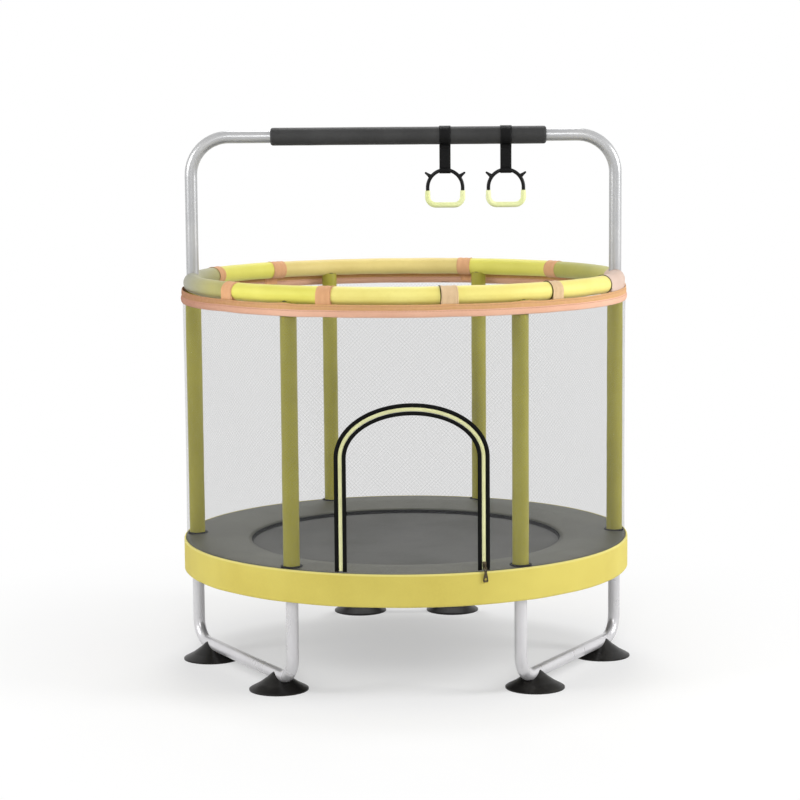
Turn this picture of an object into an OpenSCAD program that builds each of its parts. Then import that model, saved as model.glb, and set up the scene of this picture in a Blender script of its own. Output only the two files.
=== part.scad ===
// Children's indoor trampoline with a round enclosure net, six posts on three
// U-shaped legs, suction feet, an arched grab bar and two hanging hand rings.
// Origin: centre of the floor under the trampoline. +Z up, -Y is the entrance.

/* [Frame ring] */
// Radius of the circle that the posts and the frame ring share
post_circle_r = 576; // [570:1:580]
// Height of the frame ring's centre line above the floor
ring_z = 308; // [300:1:320]
// Outer diameter of the frame ring tube
ring_tube_d = 32; // [28:1:34]
// Outer diameter of the post sockets on the frame ring
socket_d = 38; // [37:1:40]

/* [Posts] */
// Angle from the X axis to each front post
front_post_angle = 59.5; // [55:0.5:62]
// Angle from the X axis to each rear post
rear_post_angle = 67.5; // [66:0.5:69]
// Outer diameter of the steel posts
post_d = 30; // [29:1:30]
// Outer diameter of the foam sleeves on the posts
post_foam_d = 42.6; // [40:0.2:44]

/* [Legs and feet] */
// Outer diameter of the leg tubes
leg_d = 32; // [30:1:32]
// Height of the floor rail's centre line
rail_z = 40; // [38:1:44]
// Centre-line radius of the leg bends
leg_bend_r = 60; // [50:1:65]
// Base radius of a suction foot
foot_r = 77.5; // [70:0.5:80]
// Height of a suction foot
foot_h = 51; // [48:1:54]
// Distance along the rail from a post axis to its foot
foot_inset = 82; // [80:1:90]

/* [Mat and springs] */
// Radius of the jumping mat
mat_r = 443; // [440:1:445]
// Height of the mat and the springs
mat_z = 314; // [312:1:315]
// Number of springs
spring_count = 36; // [36:1:36]
// Outer radius of a spring's coils
spring_r = 6; // [5:0.5:6]

/* [Pad and skirt] */
// Inner radius of the spring pad
pad_inner_r = 425; // [420:1:430]
// Height of the pad's top face
pad_top_z = 339; // [337:1:340]
// Height of the pad's underside
pad_bottom_z = 325; // [325:0.5:326]
// Outer radius of the skirt
skirt_r = 610; // [608:1:612]
// Height of the skirt's lower edge
skirt_bottom_z = 252; // [245:1:258]

/* [Top ring] */
// Height of the top ring's centre line
top_ring_z = 1036; // [1030:1:1045]
// Outer diameter of the top ring tube
top_tube_d = 22; // [20:1:22]
// Outer diameter of the top ring foam
top_foam_d = 43; // [42.5:0.5:44]
// Width of a tie along the ring
tie_w = 42; // [34:1:50]

/* [Net and door] */
// Inner radius of the net wall
net_r = 601; // [600.5:0.5:602]
// Thickness of the net's strands
net_t = 2; // [1.5:0.5:2]
// Height where the hem band starts
band_z = 982; // [975:1:990]
// Height of the hem band
band_h = 36; // [34:1:38]
// Sideways offset of the door's centre line
door_x = 16; // [10:1:20]
// Half the distance between the zip's two straight sides
door_half_w = 180; // [165:1:182]
// Height where the zip starts to curve
door_spring_z = 628; // [600:1:650]
// Rise of the zip's curved top
door_rise = 126; // [100:1:130]
// Width of one zip tape
zip_tape_w = 10; // [6:0.5:10]
// Width of the closed zip chain
zip_chain_w = 10; // [10:0.5:13]

/* [Grab bar and rings] */
// Height of the grab bar's centre line
bar_z = 1424; // [1400:1:1450]
// Outer diameter of the grab bar tube
bar_d = 34; // [34:1:36]
// Centre-line radius of the grab bar's bends
bar_bend_r = 103; // [90:1:110]
// Outer diameter of the foam grip
grip_d = 48; // [46:1:52]
// Length of the foam grip
grip_len = 747; // [700:1:760]
// Sideways offset of the foam grip
grip_x = 15; // [0:1:20]
// Sideways place of the left hand strap
strap_left_x = 114; // [100:1:130]
// Sideways place of the right hand strap
strap_right_x = 279; // [265:1:290]
// Width of a hand strap
strap_w = 31; // [28:1:34]
// Depth of the hand rings' pivots below the bar's centre line
ring_drop = 94.4; // [92:0.2:100]
// Centre-line radius of a hand ring
hand_ring_r = 47.5; // [46:0.5:49]

/* [Hidden] */
$fn = 96;

// Working overlap for cuts that run past a face
past = 5;
// Sides of thin wires and small screws
wire_fn = 32;
// Sides of tube sections
round_fn = 48;
tube_wall = 1.5;
// Post angles from the X axis, once round and back to the first
post_angles = [-180 + front_post_angle, -front_post_angle, 0,
               rear_post_angle, 180 - rear_post_angle, 180,
               180 + front_post_angle];
last_post = 5;
// Angles of the fabric ties round the top ring, once round
tie_angles = [-109.8, -79, -49.2, 0, 40.7, 71.7, 130.4, 157.5, 220.5];
// Width of the tie at the right-hand post, and of each half beside the bar
post_tie_w = 64;
half_tie_w = 10;
ring_r = ring_tube_d / 2;
post_r = post_d / 2;
leg_r = leg_d / 2;
bar_r = bar_d / 2;
bar_bore_r = post_r + 0.2;
socket_bottom = ring_z - 46;
socket_top = pad_bottom_z - 2;
socket_split = ring_z - 8;
leg_screw_z = socket_bottom + 18;
post_screw_z = socket_top - 9;
screw_r = 3;
screw_end_r = post_r + 3.5;
spring_pitch = 360 / spring_count;
spring_coil_in = 478;
spring_coil_out = 545;
spring_wire_r = 1.3;
spring_hook_in = 466;
spring_hook_out = 566;
mat_ring_bar = mat_r + 8;
link_w = 3;
fitting_bottom = top_ring_z - 36;
fitting_top = top_ring_z + 10;
fitting_screw_z = fitting_bottom + 8;
fitting_arm_r = 14;
fitting_arm_angle = 3.5;
bar_tube_bottom = top_ring_z - 131;
top_foam_r = top_foam_d / 2;
post_foam_r = post_foam_d / 2;
net_bottom = pad_top_z + 0.3;
band_top = band_z + band_h;
net_rows = 8;
net_strand = 3;
zip_r = net_r + net_t + 0.2;
zip_t = 1.4;
zip_slit = 0.9;
slider_angle = asin((door_x + door_half_w) / net_r) - 90;
slider_z = 351.5;
slider_half_h = 10;
slider_half_w = 5.2;
pull_pivot_r = net_r + 9.6;
pull_pivot_z = slider_z - 4;
pivot_z = bar_z - ring_drop;
hoop_tube_r = 5;
hoop_end_h = 8;
hoop_z = pivot_z + 1.4 - hand_ring_r;
grip_tube_r = 7.5;

steel = "gainsboro";
black = [0.12, 0.12, 0.12];
olive = [0.64, 0.61, 0.34];
yellow = [0.94, 0.90, 0.55];
salmon = [0.83, 0.60, 0.46];

// ---------- shared shapes ----------

// The two posts that the grab bar stands on
function is_side(angle) = angle % 180 == 0;

// Arc of a round section about the Z axis, from angle a0 to a1
module arc_rod(big_r, z, r, a0, a1) {
  translate([0, 0, z])
    rotate([0, 0, a0])
      rotate_extrude(angle = a1 - a0)
        translate([big_r, 0])
          circle(r, $fn = round_fn);
}

// Arc of a round tube about the Z axis
module arc_tube(big_r, z, ro, ri, a0, a1) {
  translate([0, 0, z])
    rotate([0, 0, a0])
      rotate_extrude(angle = a1 - a0)
        translate([big_r, 0])
          difference() {
            circle(ro, $fn = round_fn);
            circle(ri, $fn = round_fn);
          }
}

// Part of a cylindrical wall, from angle a0 to a1
module wall(r0, r1, z0, z1, a0, a1) {
  rotate([0, 0, a0])
    rotate_extrude(angle = a1 - a0)
      translate([r0, z0])
        square([r1 - r0, z1 - z0]);
}

// Upright tube
module pipe(ro, ri, z0, z1) {
  translate([0, 0, z0])
    difference() {
      cylinder(h = z1 - z0, r = ro);
      translate([0, 0, -1])
        cylinder(h = z1 - z0 + 2, r = ri);
    }
}

// Places children at one post's axis, with X pointing away from the centre
module at_post(angle) {
  rotate([0, 0, angle])
    translate([post_circle_r, 0, 0])
      children();
}

// Places children at every post
module at_posts() {
  for (i = [0 : last_post])
    at_post(post_angles[i])
      children();
}

// Places children at every spring, with X pointing away from the centre
module at_springs() {
  for (i = [0 : spring_count - 1])
    rotate([0, 0, (i + 0.5) * spring_pitch])
      children();
}

// Solid U in the XZ plane: bridge on z = 0, arms up to z = height
module u_rod(half, height, bend, r) {
  for (side = [0, 1])
    mirror([side, 0, 0]) {
      translate([half, 0, bend])
        cylinder(h = height - bend, r = r);
      translate([half - bend, 0, bend])
        rotate([90, 0, 0])
          rotate([0, 0, -90])
            rotate_extrude(angle = 90)
              translate([bend, 0])
                circle(r);
    }
  translate([-(half - bend), 0, 0])
    rotate([0, 90, 0])
      cylinder(h = 2 * (half - bend), r = r);
}

// The same U as a tube, open at both ends
module u_tube(half, height, bend, ro, ri) {
  difference() {
    u_rod(half, height, bend, ro);
    u_rod(half, height + 1, bend, ri);
  }
}

// Radial hole or shank through a wall at a post, along local X
module radial_pin(z, r, from, to) {
  translate([from, 0, z])
    rotate([0, 90, 0])
      cylinder(h = to - from, r = r, $fn = wire_fn);
}

// Places a leg's U between two post angles
module at_leg(a, b) {
  rotate([0, 0, (a + b) / 2])
    translate([post_circle_r * cos((b - a) / 2), 0, rail_z])
      rotate([0, 0, 90])
        children();
}

function leg_half(a, b) = post_circle_r * sin((b - a) / 2);

// Points of the door outline, d millimetres outside the zip's centre line
function door_outline(d, bottom) =
  let (a = door_half_w + d, b = door_rise + d, steps = 24)
  concat(
    [[door_x - a, bottom]],
    [for (i = [0 : steps])
      [door_x - a * cos(180 * i / steps),
       door_spring_z + b * sin(180 * i / steps)]],
    [[door_x + a, bottom]]
  );

// Prism of the door outline, cutting the front of the net from y = -700
module door_prism(d, bottom) {
  translate([0, -400, 0])
    rotate([90, 0, 0])
      linear_extrude(300)
        polygon(door_outline(d, bottom));
}

// Front part of the cylindrical wall, wide enough for the door
module front_wall(r0, r1, z0, z1) {
  wall(r0, r1, z0, z1, -112, -66);
}

// ---------- frame ----------

// Ring tube between two posts, coped to the sockets and holed for the springs
module ring_bay(a, b) {
  difference() {
    arc_tube(post_circle_r, ring_z, ring_r, ring_r - tube_wall, a + 1, b - 1);
    for (end = [a, b])
      at_post(end)
        translate([0, 0, ring_z - 2 * ring_r])
          cylinder(h = 4 * ring_r, d = socket_d + 0.1);
    for (i = [-spring_count : spring_count])
      let (angle = (i + 0.5) * spring_pitch)
        if (angle > a && angle < b)
          rotate([0, 0, angle])
            translate([post_circle_r - ring_r - 2, 0, mat_z])
              rotate([0, 90, 0])
                cylinder(h = 8, r = 2.6, $fn = wire_fn);
  }
}

module frame_ring() {
  color(steel)
    for (i = [0 : last_post])
      ring_bay(post_angles[i], post_angles[i + 1]);
}

module socket() {
  difference() {
    pipe(socket_d / 2, post_r + 0.1, socket_bottom, socket_top);
    translate([0, 0, socket_bottom - 1])
      cylinder(h = socket_split - socket_bottom + 1, r = leg_r + 0.1);
    for (z = [leg_screw_z, post_screw_z])
      radial_pin(z, screw_r + 0.1, 0, socket_d);
  }
}

module post_sockets() {
  color(steel)
    at_posts()
      socket();
}

module screw(z, surface_r, tube_r) {
  radial_pin(z, screw_r, tube_r - 4, surface_r + 0.5);
  radial_pin(z, 5.5, surface_r, surface_r + 3);
}

module socket_screws() {
  color("silver")
    at_posts() {
      screw(leg_screw_z, socket_d / 2, leg_r);
      screw(post_screw_z, socket_d / 2, post_r);
    }
}

module leg(a, b) {
  color(steel)
    difference() {
      at_leg(a, b)
        u_tube(leg_half(a, b), socket_split - rail_z - 1, leg_bend_r,
               leg_r, leg_r - tube_wall);
      for (end = [a, b])
        at_post(end)
          radial_pin(leg_screw_z, screw_r + 0.1, 0, leg_r + 2);
    }
}

module leg_left() { leg(180, 180 + front_post_angle); }
module leg_right() { leg(-front_post_angle, 0); }
module leg_rear() { leg(rear_post_angle, 180 - rear_post_angle); }

// Rubber cone with a saddle for the rail and a shallow suction recess
module suction_foot() {
  difference() {
    rotate_extrude()
      polygon([
        [0, 3.5], [foot_r - 22, 3.5], [foot_r - 9, 0], [foot_r, 0],
        [foot_r, 3], [foot_r - 3, 5], [52, 17], [30, 33], [17, foot_h - 6],
        [12, foot_h - 1], [8, foot_h], [0, foot_h]
      ]);
    translate([-foot_r, 0, rail_z])
      rotate([0, 90, 0])
        cylinder(h = 2 * foot_r, r = leg_r + 0.1);
  }
}

// side is -1 for the end at post a and +1 for the end at post b
module foot(a, b, side) {
  color(black)
    at_leg(a, b)
      translate([side * (leg_half(a, b) - foot_inset), 0, -rail_z])
        suction_foot();
}

module foot_left_side() { foot(180, 180 + front_post_angle, -1); }
module foot_left_front() { foot(180, 180 + front_post_angle, 1); }
module foot_right_front() { foot(-front_post_angle, 0, -1); }
module foot_right_side() { foot(-front_post_angle, 0, 1); }
module foot_rear_right() { foot(rear_post_angle, 180 - rear_post_angle, -1); }
module foot_rear_left() { foot(rear_post_angle, 180 - rear_post_angle, 1); }

// ---------- posts ----------

module post(angle) {
  color(steel)
    at_post(angle)
      difference() {
        pipe(post_r, post_r - tube_wall, socket_split + 1, top_ring_z - 13);
        for (z = [post_screw_z, fitting_screw_z])
          radial_pin(z, screw_r + 0.1, 0, post_r + 2);
      }
}

module post_left() { post(180); }
module post_right() { post(0); }
module post_front_left() { post(180 + front_post_angle); }
module post_front_right() { post(-front_post_angle); }
module post_rear_left() { post(180 - rear_post_angle); }
module post_rear_right() { post(rear_post_angle); }

// Foam sleeve with rounded ends, bored wider where it covers the grab bar on a
// side post, or the fitting and its screw on the others
module post_foam(angle) {
  round_r = 2;
  side = is_side(angle);
  bottom = socket_top + 1;
  post_foam_top = side ? fitting_bottom - 0.5 : top_ring_z - top_foam_r - 2;
  bore = post_r + 0.1;
  wide = side ? bar_r + 0.1 : screw_end_r + 0.3;
  wide_z = side ? bar_tube_bottom - 1 : fitting_bottom - 1;
  color(olive)
    at_post(angle)
      rotate_extrude()
        polygon(concat(
          [[bore, bottom], [post_foam_r - round_r, bottom]],
          [for (t = [-60 : 30 : 0])
            [post_foam_r - round_r + round_r * cos(t),
             bottom + round_r + round_r * sin(t)]],
          [for (t = [0 : 30 : 60])
            [post_foam_r - round_r + round_r * cos(t),
             post_foam_top - round_r + round_r * sin(t)]],
          [[post_foam_r - round_r, post_foam_top], [wide, post_foam_top],
           [wide, wide_z], [bore, wide_z]]
        ));
}

module post_foam_left() { post_foam(180); }
module post_foam_right() { post_foam(0); }
module post_foam_front_left() { post_foam(180 + front_post_angle); }
module post_foam_front_right() { post_foam(-front_post_angle); }
module post_foam_rear_left() { post_foam(180 - rear_post_angle); }
module post_foam_rear_right() { post_foam(rear_post_angle); }

// Bound edges of the pad's post holes, trimmed where the net stands
module post_collars() {
  inner = post_foam_r + 0.7;
  width = 6.3;
  color(black)
    intersection() {
      at_posts()
        translate([0, 0, pad_top_z])
          rotate_extrude()
            polygon([
              [inner, 0], [inner + width, 0], [inner + width - 0.6, 1.4],
              [inner + width / 2, 2], [inner + 0.8, 2.2], [inner, 1.6]
            ]);
      cylinder(h = pad_top_z + past, r = net_r - 0.3);
    }
}

// ---------- mat and springs ----------

module jumping_mat() {
  color([0.35, 0.35, 0.36])
    translate([0, 0, mat_z - 1.2])
      cylinder(h = 2.4, r = mat_r);
}

// Webbing folded over the mat's edge, with a loop for each link
module mat_webbing() {
  loop_w = 18;
  color(black)
    difference() {
      union() {
        rotate_extrude()
          polygon([
            [mat_r - 22, mat_z + 1.2], [mat_r, mat_z + 1.2],
            [mat_r, mat_z - 1.2], [mat_r - 22, mat_z - 1.2],
            [mat_r - 22, mat_z - 2.2], [mat_r + 1, mat_z - 2.2],
            [mat_r + 1, mat_z + 2.2], [mat_r - 22, mat_z + 2.2]
          ]);
        at_springs()
          translate([mat_r - 1, -loop_w / 2, mat_z - 2.2])
            cube([12, loop_w, 4.4]);
      }
      translate([0, 0, mat_z - 1.2])
        cylinder(h = 2.4, r = mat_r);
      at_springs()
        translate([mat_ring_bar, 0, mat_z])
          cube([link_w + 0.2, loop_w + 2 * past, link_w + 0.2], center = true);
    }
}

// Triangular link that joins a webbing loop to a spring
module mat_link() {
  half = 14;
  apex = spring_hook_in - mat_ring_bar;
  w = link_w / 2;
  linear_extrude(link_w, center = true)
    difference() {
      polygon([[-w, -half], [-w, half], [w, half], [apex + w, 2],
               [apex + w, -2], [w, -half]]);
      polygon([[w, -half + 4], [w, half - 4], [apex - w, 1.2],
               [apex - w, -1.2]]);
    }
}

module mat_rings() {
  color("silver")
    at_springs()
      translate([mat_ring_bar, 0, mat_z])
        mat_link();
}

// Spring drawn as its coil's outer barrel, with wire ends and an eye
module spring($fn = wire_fn) {
  eye_r = 4.6;
  translate([spring_coil_in, 0, 0])
    rotate([0, 90, 0])
      cylinder(h = spring_coil_out - spring_coil_in, r = spring_r);
  translate([spring_hook_in + eye_r, 0, 0])
    rotate([0, 90, 0])
      cylinder(h = spring_coil_in - spring_hook_in - eye_r + 1, r = spring_wire_r);
  translate([spring_hook_in, 0, 0])
    rotate([90, 0, 0])
      rotate_extrude()
        translate([eye_r, 0])
          circle(spring_wire_r);
  translate([spring_coil_out - 1, 0, 0])
    rotate([0, 90, 0])
      cylinder(h = spring_hook_out - spring_coil_out + 1, r = spring_wire_r);
  translate([spring_hook_out, 0, -8])
    cylinder(h = 8 + spring_wire_r, r = spring_wire_r);
}

module springs() {
  color("silver")
    at_springs()
      translate([0, 0, mat_z])
        spring();
}

// ---------- pad and skirt ----------

// Padded ring with a crowned top and rounded edges, holed for the posts
module spring_pad() {
  outer = skirt_r - 3.2;
  t = pad_top_z - pad_bottom_z;
  round_r = t / 2;
  color([0.47, 0.48, 0.44])
    difference() {
      rotate_extrude()
        polygon(concat(
          [for (a = [-90 : -22.5 : -270])
            [pad_inner_r + round_r + round_r * cos(a),
             pad_bottom_z + round_r + round_r * sin(a)]],
          [for (a = [90 : -22.5 : -90])
            [outer - round_r + round_r * cos(a),
             pad_bottom_z + round_r + round_r * sin(a)]]
        ));
      at_posts()
        translate([0, 0, pad_bottom_z - past])
          cylinder(h = t + 2 * past, r = post_foam_r + 0.7);
    }
}

// Bead sewn along the pad's inner edge
module pad_piping() {
  color(black)
    rotate_extrude()
      translate([pad_inner_r + 5, pad_top_z + 2.2])
        circle(2.2);
}

// Fabric skirt, closed over the pad's edge and turned up in a hem below
module skirt() {
  color([0.85, 0.79, 0.45])
    rotate_extrude()
      polygon([
        [skirt_r - 2.4, pad_top_z - 6], [skirt_r - 4.6, pad_top_z],
        [skirt_r - 4.6, pad_top_z + 1.2], [skirt_r - 2, pad_top_z + 1.2],
        [skirt_r - 0.4, pad_top_z - 0.6], [skirt_r, pad_top_z - 4],
        [skirt_r, skirt_bottom_z + 2], [skirt_r - 1, skirt_bottom_z],
        [skirt_r - 3, skirt_bottom_z], [skirt_r - 4, skirt_bottom_z + 2],
        [skirt_r - 4, skirt_bottom_z + 12], [skirt_r - 2.4, skirt_bottom_z + 14]
      ]);
}

// ---------- top ring ----------

module top_ring_tubes() {
  color(steel)
    for (i = [0 : last_post])
      let (a = post_angles[i], b = post_angles[i + 1])
        arc_tube(post_circle_r, top_ring_z, top_tube_d / 2,
                 top_tube_d / 2 - tube_wall,
                 a + (is_side(a) ? 1.9 : 0.3), b - (is_side(b) ? 1.9 : 0.3));
}

// Outer radius of a fitting's upright body
function fitting_r(angle) = is_side(angle) ? 20.5 : 17.5;

// Plastic fitting that joins a post to the top ring; side ones pass the bar
module top_fitting(angle) {
  body_r = fitting_r(angle);
  bore_r = is_side(angle) ? bar_r + 0.1 : post_r + 0.1;
  bore_top = top_ring_z + (is_side(angle) ? fitting_arm_r + 2 : -12);
  difference() {
    union() {
      at_post(angle)
        translate([0, 0, fitting_bottom])
          cylinder(h = fitting_top - fitting_bottom, r = body_r);
      arc_rod(post_circle_r, top_ring_z, fitting_arm_r,
              angle - fitting_arm_angle, angle + fitting_arm_angle);
    }
    arc_rod(post_circle_r, top_ring_z, top_tube_d / 2 + 0.1,
            angle - fitting_arm_angle - 1, angle + fitting_arm_angle + 1);
    at_post(angle) {
      translate([0, 0, fitting_bottom - 1])
        cylinder(h = bore_top - fitting_bottom + 1, r = bore_r);
      radial_pin(fitting_screw_z, screw_r + 0.1, 0, body_r + 2);
    }
  }
}

module top_fittings() {
  color(black)
    for (i = [0 : last_post])
      top_fitting(post_angles[i]);
}

module top_fitting_screws() {
  color("silver")
    for (i = [0 : last_post])
      let (a = post_angles[i])
        at_post(a)
          radial_pin(fitting_screw_z, screw_r, post_r - 4,
                     is_side(a) ? fitting_r(a) - 0.1 : screw_end_r);
}

// Foam tubes between the ties, hollowed where they cover the fittings
module top_ring_foam() {
  half_gap = 0.02;
  ties = concat(tie_angles, [tie_angles[0] + 360]);
  color(yellow)
    for (i = [0 : len(tie_angles) - 1])
      let (a = ties[i], b = ties[i + 1])
        difference() {
          arc_tube(post_circle_r, top_ring_z, top_foam_r,
                   top_tube_d / 2 + 0.1, a + half_gap, b - half_gap);
          for (p = post_angles)
            if (p > a - 5 && p < b + 5) {
              arc_rod(post_circle_r, top_ring_z, fitting_arm_r + 0.1,
                      p - fitting_arm_angle - 0.1, p + fitting_arm_angle + 0.1);
              at_post(p) {
                translate([0, 0, top_ring_z - top_foam_d])
                  cylinder(h = fitting_top + top_foam_d - top_ring_z + 0.1,
                           r = fitting_r(p) + 0.1);
                if (is_side(p))
                  cylinder(h = top_ring_z + 2 * top_foam_r, r = bar_r + 0.2);
              }
            }
        }
}

// Fabric tie round the foam, drawn in one piece with its tab in the hem band
module ring_tie(angle, width) {
  half = width / post_circle_r * 90 / PI;
  sleeve_r = top_foam_r + 1.5;
  tab_h = top_ring_z - band_z - 12;
  rotate([0, 0, angle - half])
    rotate_extrude(angle = 2 * half)
      difference() {
        union() {
          translate([post_circle_r, top_ring_z])
            circle(sleeve_r, $fn = round_fn);
          translate([post_circle_r + sleeve_r - 2, band_z + 6])
            square([net_r - 0.6 - post_circle_r - sleeve_r + 2, tab_h]);
        }
        translate([post_circle_r, top_ring_z])
          circle(top_foam_r + 0.1, $fn = round_fn);
      }
}

// The tie at a side post is two halves, one each side of the grab bar
module ring_ties() {
  shift = (post_tie_w - half_tie_w) / post_circle_r * 90 / PI;
  color(salmon)
    for (a = tie_angles)
      if (is_side(a))
        for (side = [-1, 1])
          ring_tie(a + side * shift, half_tie_w);
      else
        ring_tie(a, tie_w);
}

// Band sewn to the net's top edge, with a round hem below a flat strip
module hem_band() {
  hem_r = 9;
  mid = band_z + hem_r;
  color(salmon)
    rotate_extrude()
      polygon(concat(
        [[net_r - 0.4, band_z], [net_r + 2, band_z]],
        [for (a = [-60 : 20 : 60])
          [net_r + 2 + 3 * cos(a), mid + hem_r * sin(a)]],
        [[net_r + 2.2, band_z + 2 * hem_r + 1],
         [net_r + 2.8, band_z + 2 * hem_r + 3],
         [net_r + 2.4, band_top], [net_r - 0.4, band_top]]
      ));
}

// ---------- net and door ----------

// One stretch of net with a square lattice between two angles
module net_patch(a0, a1, z0, z1) {
  columns = max(1, round((a1 - a0) / 10));
  rows = max(1, round((z1 - z0) / (band_z - net_bottom) * net_rows));
  step_a = (a1 - a0) / columns;
  step_z = (z1 - z0) / rows;
  strand_a = net_strand / net_r * 180 / PI;
  difference() {
    wall(net_r, net_r + net_t, z0, z1, a0, a1);
    for (i = [0 : columns - 1], j = [0 : rows - 1])
      wall(net_r - past, net_r + net_t + past,
           z0 + j * step_z + net_strand, z0 + (j + 1) * step_z - net_strand / 2,
           a0 + i * step_a + strand_a / 2, a0 + (i + 1) * step_a - strand_a / 2);
  }
}

// A bay between two posts, as two sewn widths
module net_bay(a0, a1) {
  seam = 0.02;
  mid = (a0 + a1) / 2;
  color([0.85, 0.86, 0.87]) {
    net_patch(a0 + seam, mid - seam, net_bottom, band_z - 0.2);
    net_patch(mid + seam, a1 - seam, net_bottom, band_z - 0.2);
  }
}

module net_left() { net_bay(180, 180 + front_post_angle); }
module net_right() { net_bay(-front_post_angle, 0); }
module net_rear_right() { net_bay(0, rear_post_angle); }
module net_rear() { net_bay(rear_post_angle, 180 - rear_post_angle); }
module net_rear_left() { net_bay(180 - rear_post_angle, 180); }

zip_outer = zip_chain_w / 2 + zip_tape_w;
door_edge_left = asin((door_x - door_half_w - zip_outer) / net_r) - 90;
door_edge_right = asin((door_x + door_half_w + zip_outer) / net_r) - 90;

// Openings of the lattice above the door's arch
module corner_openings(top) {
  columns = 4;
  rows = 2;
  step_a = (door_edge_right - door_edge_left) / columns;
  step_z = (top - door_spring_z) / rows;
  strand_a = net_strand / net_r * 180 / PI;
  difference() {
    for (i = [0 : columns - 1], j = [0 : rows - 1])
      wall(net_r - past, net_r + net_t + past,
           door_spring_z + j * step_z + net_strand,
           door_spring_z + (j + 1) * step_z - net_strand,
           door_edge_left + i * step_a + strand_a,
           door_edge_left + (i + 1) * step_a - strand_a);
    door_prism(zip_outer + net_strand, net_bottom - past);
  }
}

// The front bay: a strip each side of the door and the net above it
module net_front() {
  seam = 0.02;
  mid = (door_edge_left + door_edge_right) / 2;
  top = door_spring_z + door_rise + zip_outer + 4;
  lattice_top = band_z - 0.2;
  color([0.85, 0.86, 0.87]) {
    net_patch(-180 + front_post_angle + seam, door_edge_left - seam,
              net_bottom, lattice_top);
    net_patch(door_edge_right + seam, -front_post_angle - seam,
              net_bottom, lattice_top);
    net_patch(door_edge_left + seam, mid - seam, top, lattice_top);
    net_patch(mid + seam, door_edge_right - seam, top, lattice_top);
    difference() {
      front_wall(net_r, net_r + net_t, door_spring_z, top - 0.2);
      door_prism(zip_outer + 0.1, net_bottom - past);
      wall(net_r - past, net_r + past, 0, top, door_edge_right, -60);
      wall(net_r - past, net_r + past, 0, top, -120, door_edge_left);
      corner_openings(top);
    }
  }
}

// Strip of wall between two offsets of the door outline
module door_strip(r0, r1, inner, outer, bottom) {
  intersection() {
    front_wall(r0, r1, bottom, band_z);
    difference() {
      door_prism(outer, bottom - past);
      door_prism(inner, bottom - 2 * past);
    }
  }
}

module zip_outer_tape() {
  color(black)
    door_strip(zip_r, zip_r + zip_t, zip_chain_w / 2 + 0.1, zip_outer, net_bottom);
}

// Two rows of teeth with a slit that the slider's web runs in
module zip_chain() {
  bottom = net_bottom + 3;
  color([0.84, 0.85, 0.62]) {
    door_strip(net_r, zip_r + zip_t, zip_slit, zip_chain_w / 2, bottom);
    door_strip(net_r, zip_r + zip_t, -zip_chain_w / 2, -zip_slit, bottom);
  }
}

module door_net() {
  edge = zip_chain_w / 2 + 0.4;
  lattice_top = door_spring_z + door_rise;
  columns = 4;
  rows = 5;
  step_a = 34 / columns;
  step_z = (lattice_top - net_bottom) / rows;
  color([0.85, 0.86, 0.87])
    difference() {
      intersection() {
        front_wall(net_r, net_r + net_t, net_bottom + 0.5, lattice_top);
        door_prism(-edge, net_bottom - past);
      }
      intersection() {
        door_prism(-edge - zip_tape_w, net_bottom - past);
        for (i = [0 : columns - 1], j = [0 : rows - 1])
          wall(net_r - past, net_r + net_t + past,
               net_bottom + j * step_z + 4, net_bottom + (j + 1) * step_z - 1.5,
               -105 + i * step_a + 0.15, -105 + (i + 1) * step_a - 0.15);
      }
    }
}

module zip_door_tape() {
  color(black)
    door_strip(zip_r, zip_r + zip_t, -zip_chain_w / 2 - 0.4 - zip_tape_w,
               -zip_chain_w / 2 - 0.4, net_bottom + 0.5);
}

module at_slider() {
  rotate([0, 0, slider_angle])
    children();
}

// Plate of the slider, flat in the local YZ plane
module slider_plate(r, t) {
  translate([r, 0, slider_z])
    rotate([0, 90, 0])
      linear_extrude(t)
        polygon([
          [-slider_half_h, -slider_half_w], [-slider_half_h, slider_half_w],
          [-2, slider_half_w], [slider_half_h, slider_half_w - 2],
          [slider_half_h, -slider_half_w + 2], [-2, -slider_half_w]
        ]);
}

// Front-to-back place of a point of the zip's right side, at radius r
function zip_side_y(r) = -sqrt(r * r - pow(door_x + door_half_w, 2));

// Two plates joined by a web in the chain's slit, and a bridge for the pull
module zip_slider() {
  plate_in = net_r - 2;
  plate_out = zip_r + zip_t + 0.4;
  web_in = zip_side_y(plate_in + 0.7);
  web_out = zip_side_y(plate_out + 0.8);
  web_h = 14;
  color([0.30, 0.27, 0.20]) {
    translate([door_x + door_half_w - 0.5, web_out, slider_z - web_h / 2])
      cube([1, web_in - web_out, web_h]);
    at_slider() {
      slider_plate(plate_in, 1.4);
      slider_plate(plate_out, 1.6);
      translate([plate_out + 1, 0, pull_pivot_z + 3])
        rotate([90, 0, 0])
          linear_extrude(3, center = true)
            difference() {
              polygon([[0, -8], [6.2, -6.5], [6.8, -3], [6.2, 0.5], [0, 6]]);
              translate([pull_pivot_r - plate_out - 1, -3])
                circle(1.5);
              translate([1.2, -5])
                square([2.6, 6.5]);
            }
    }
  }
}

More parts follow.
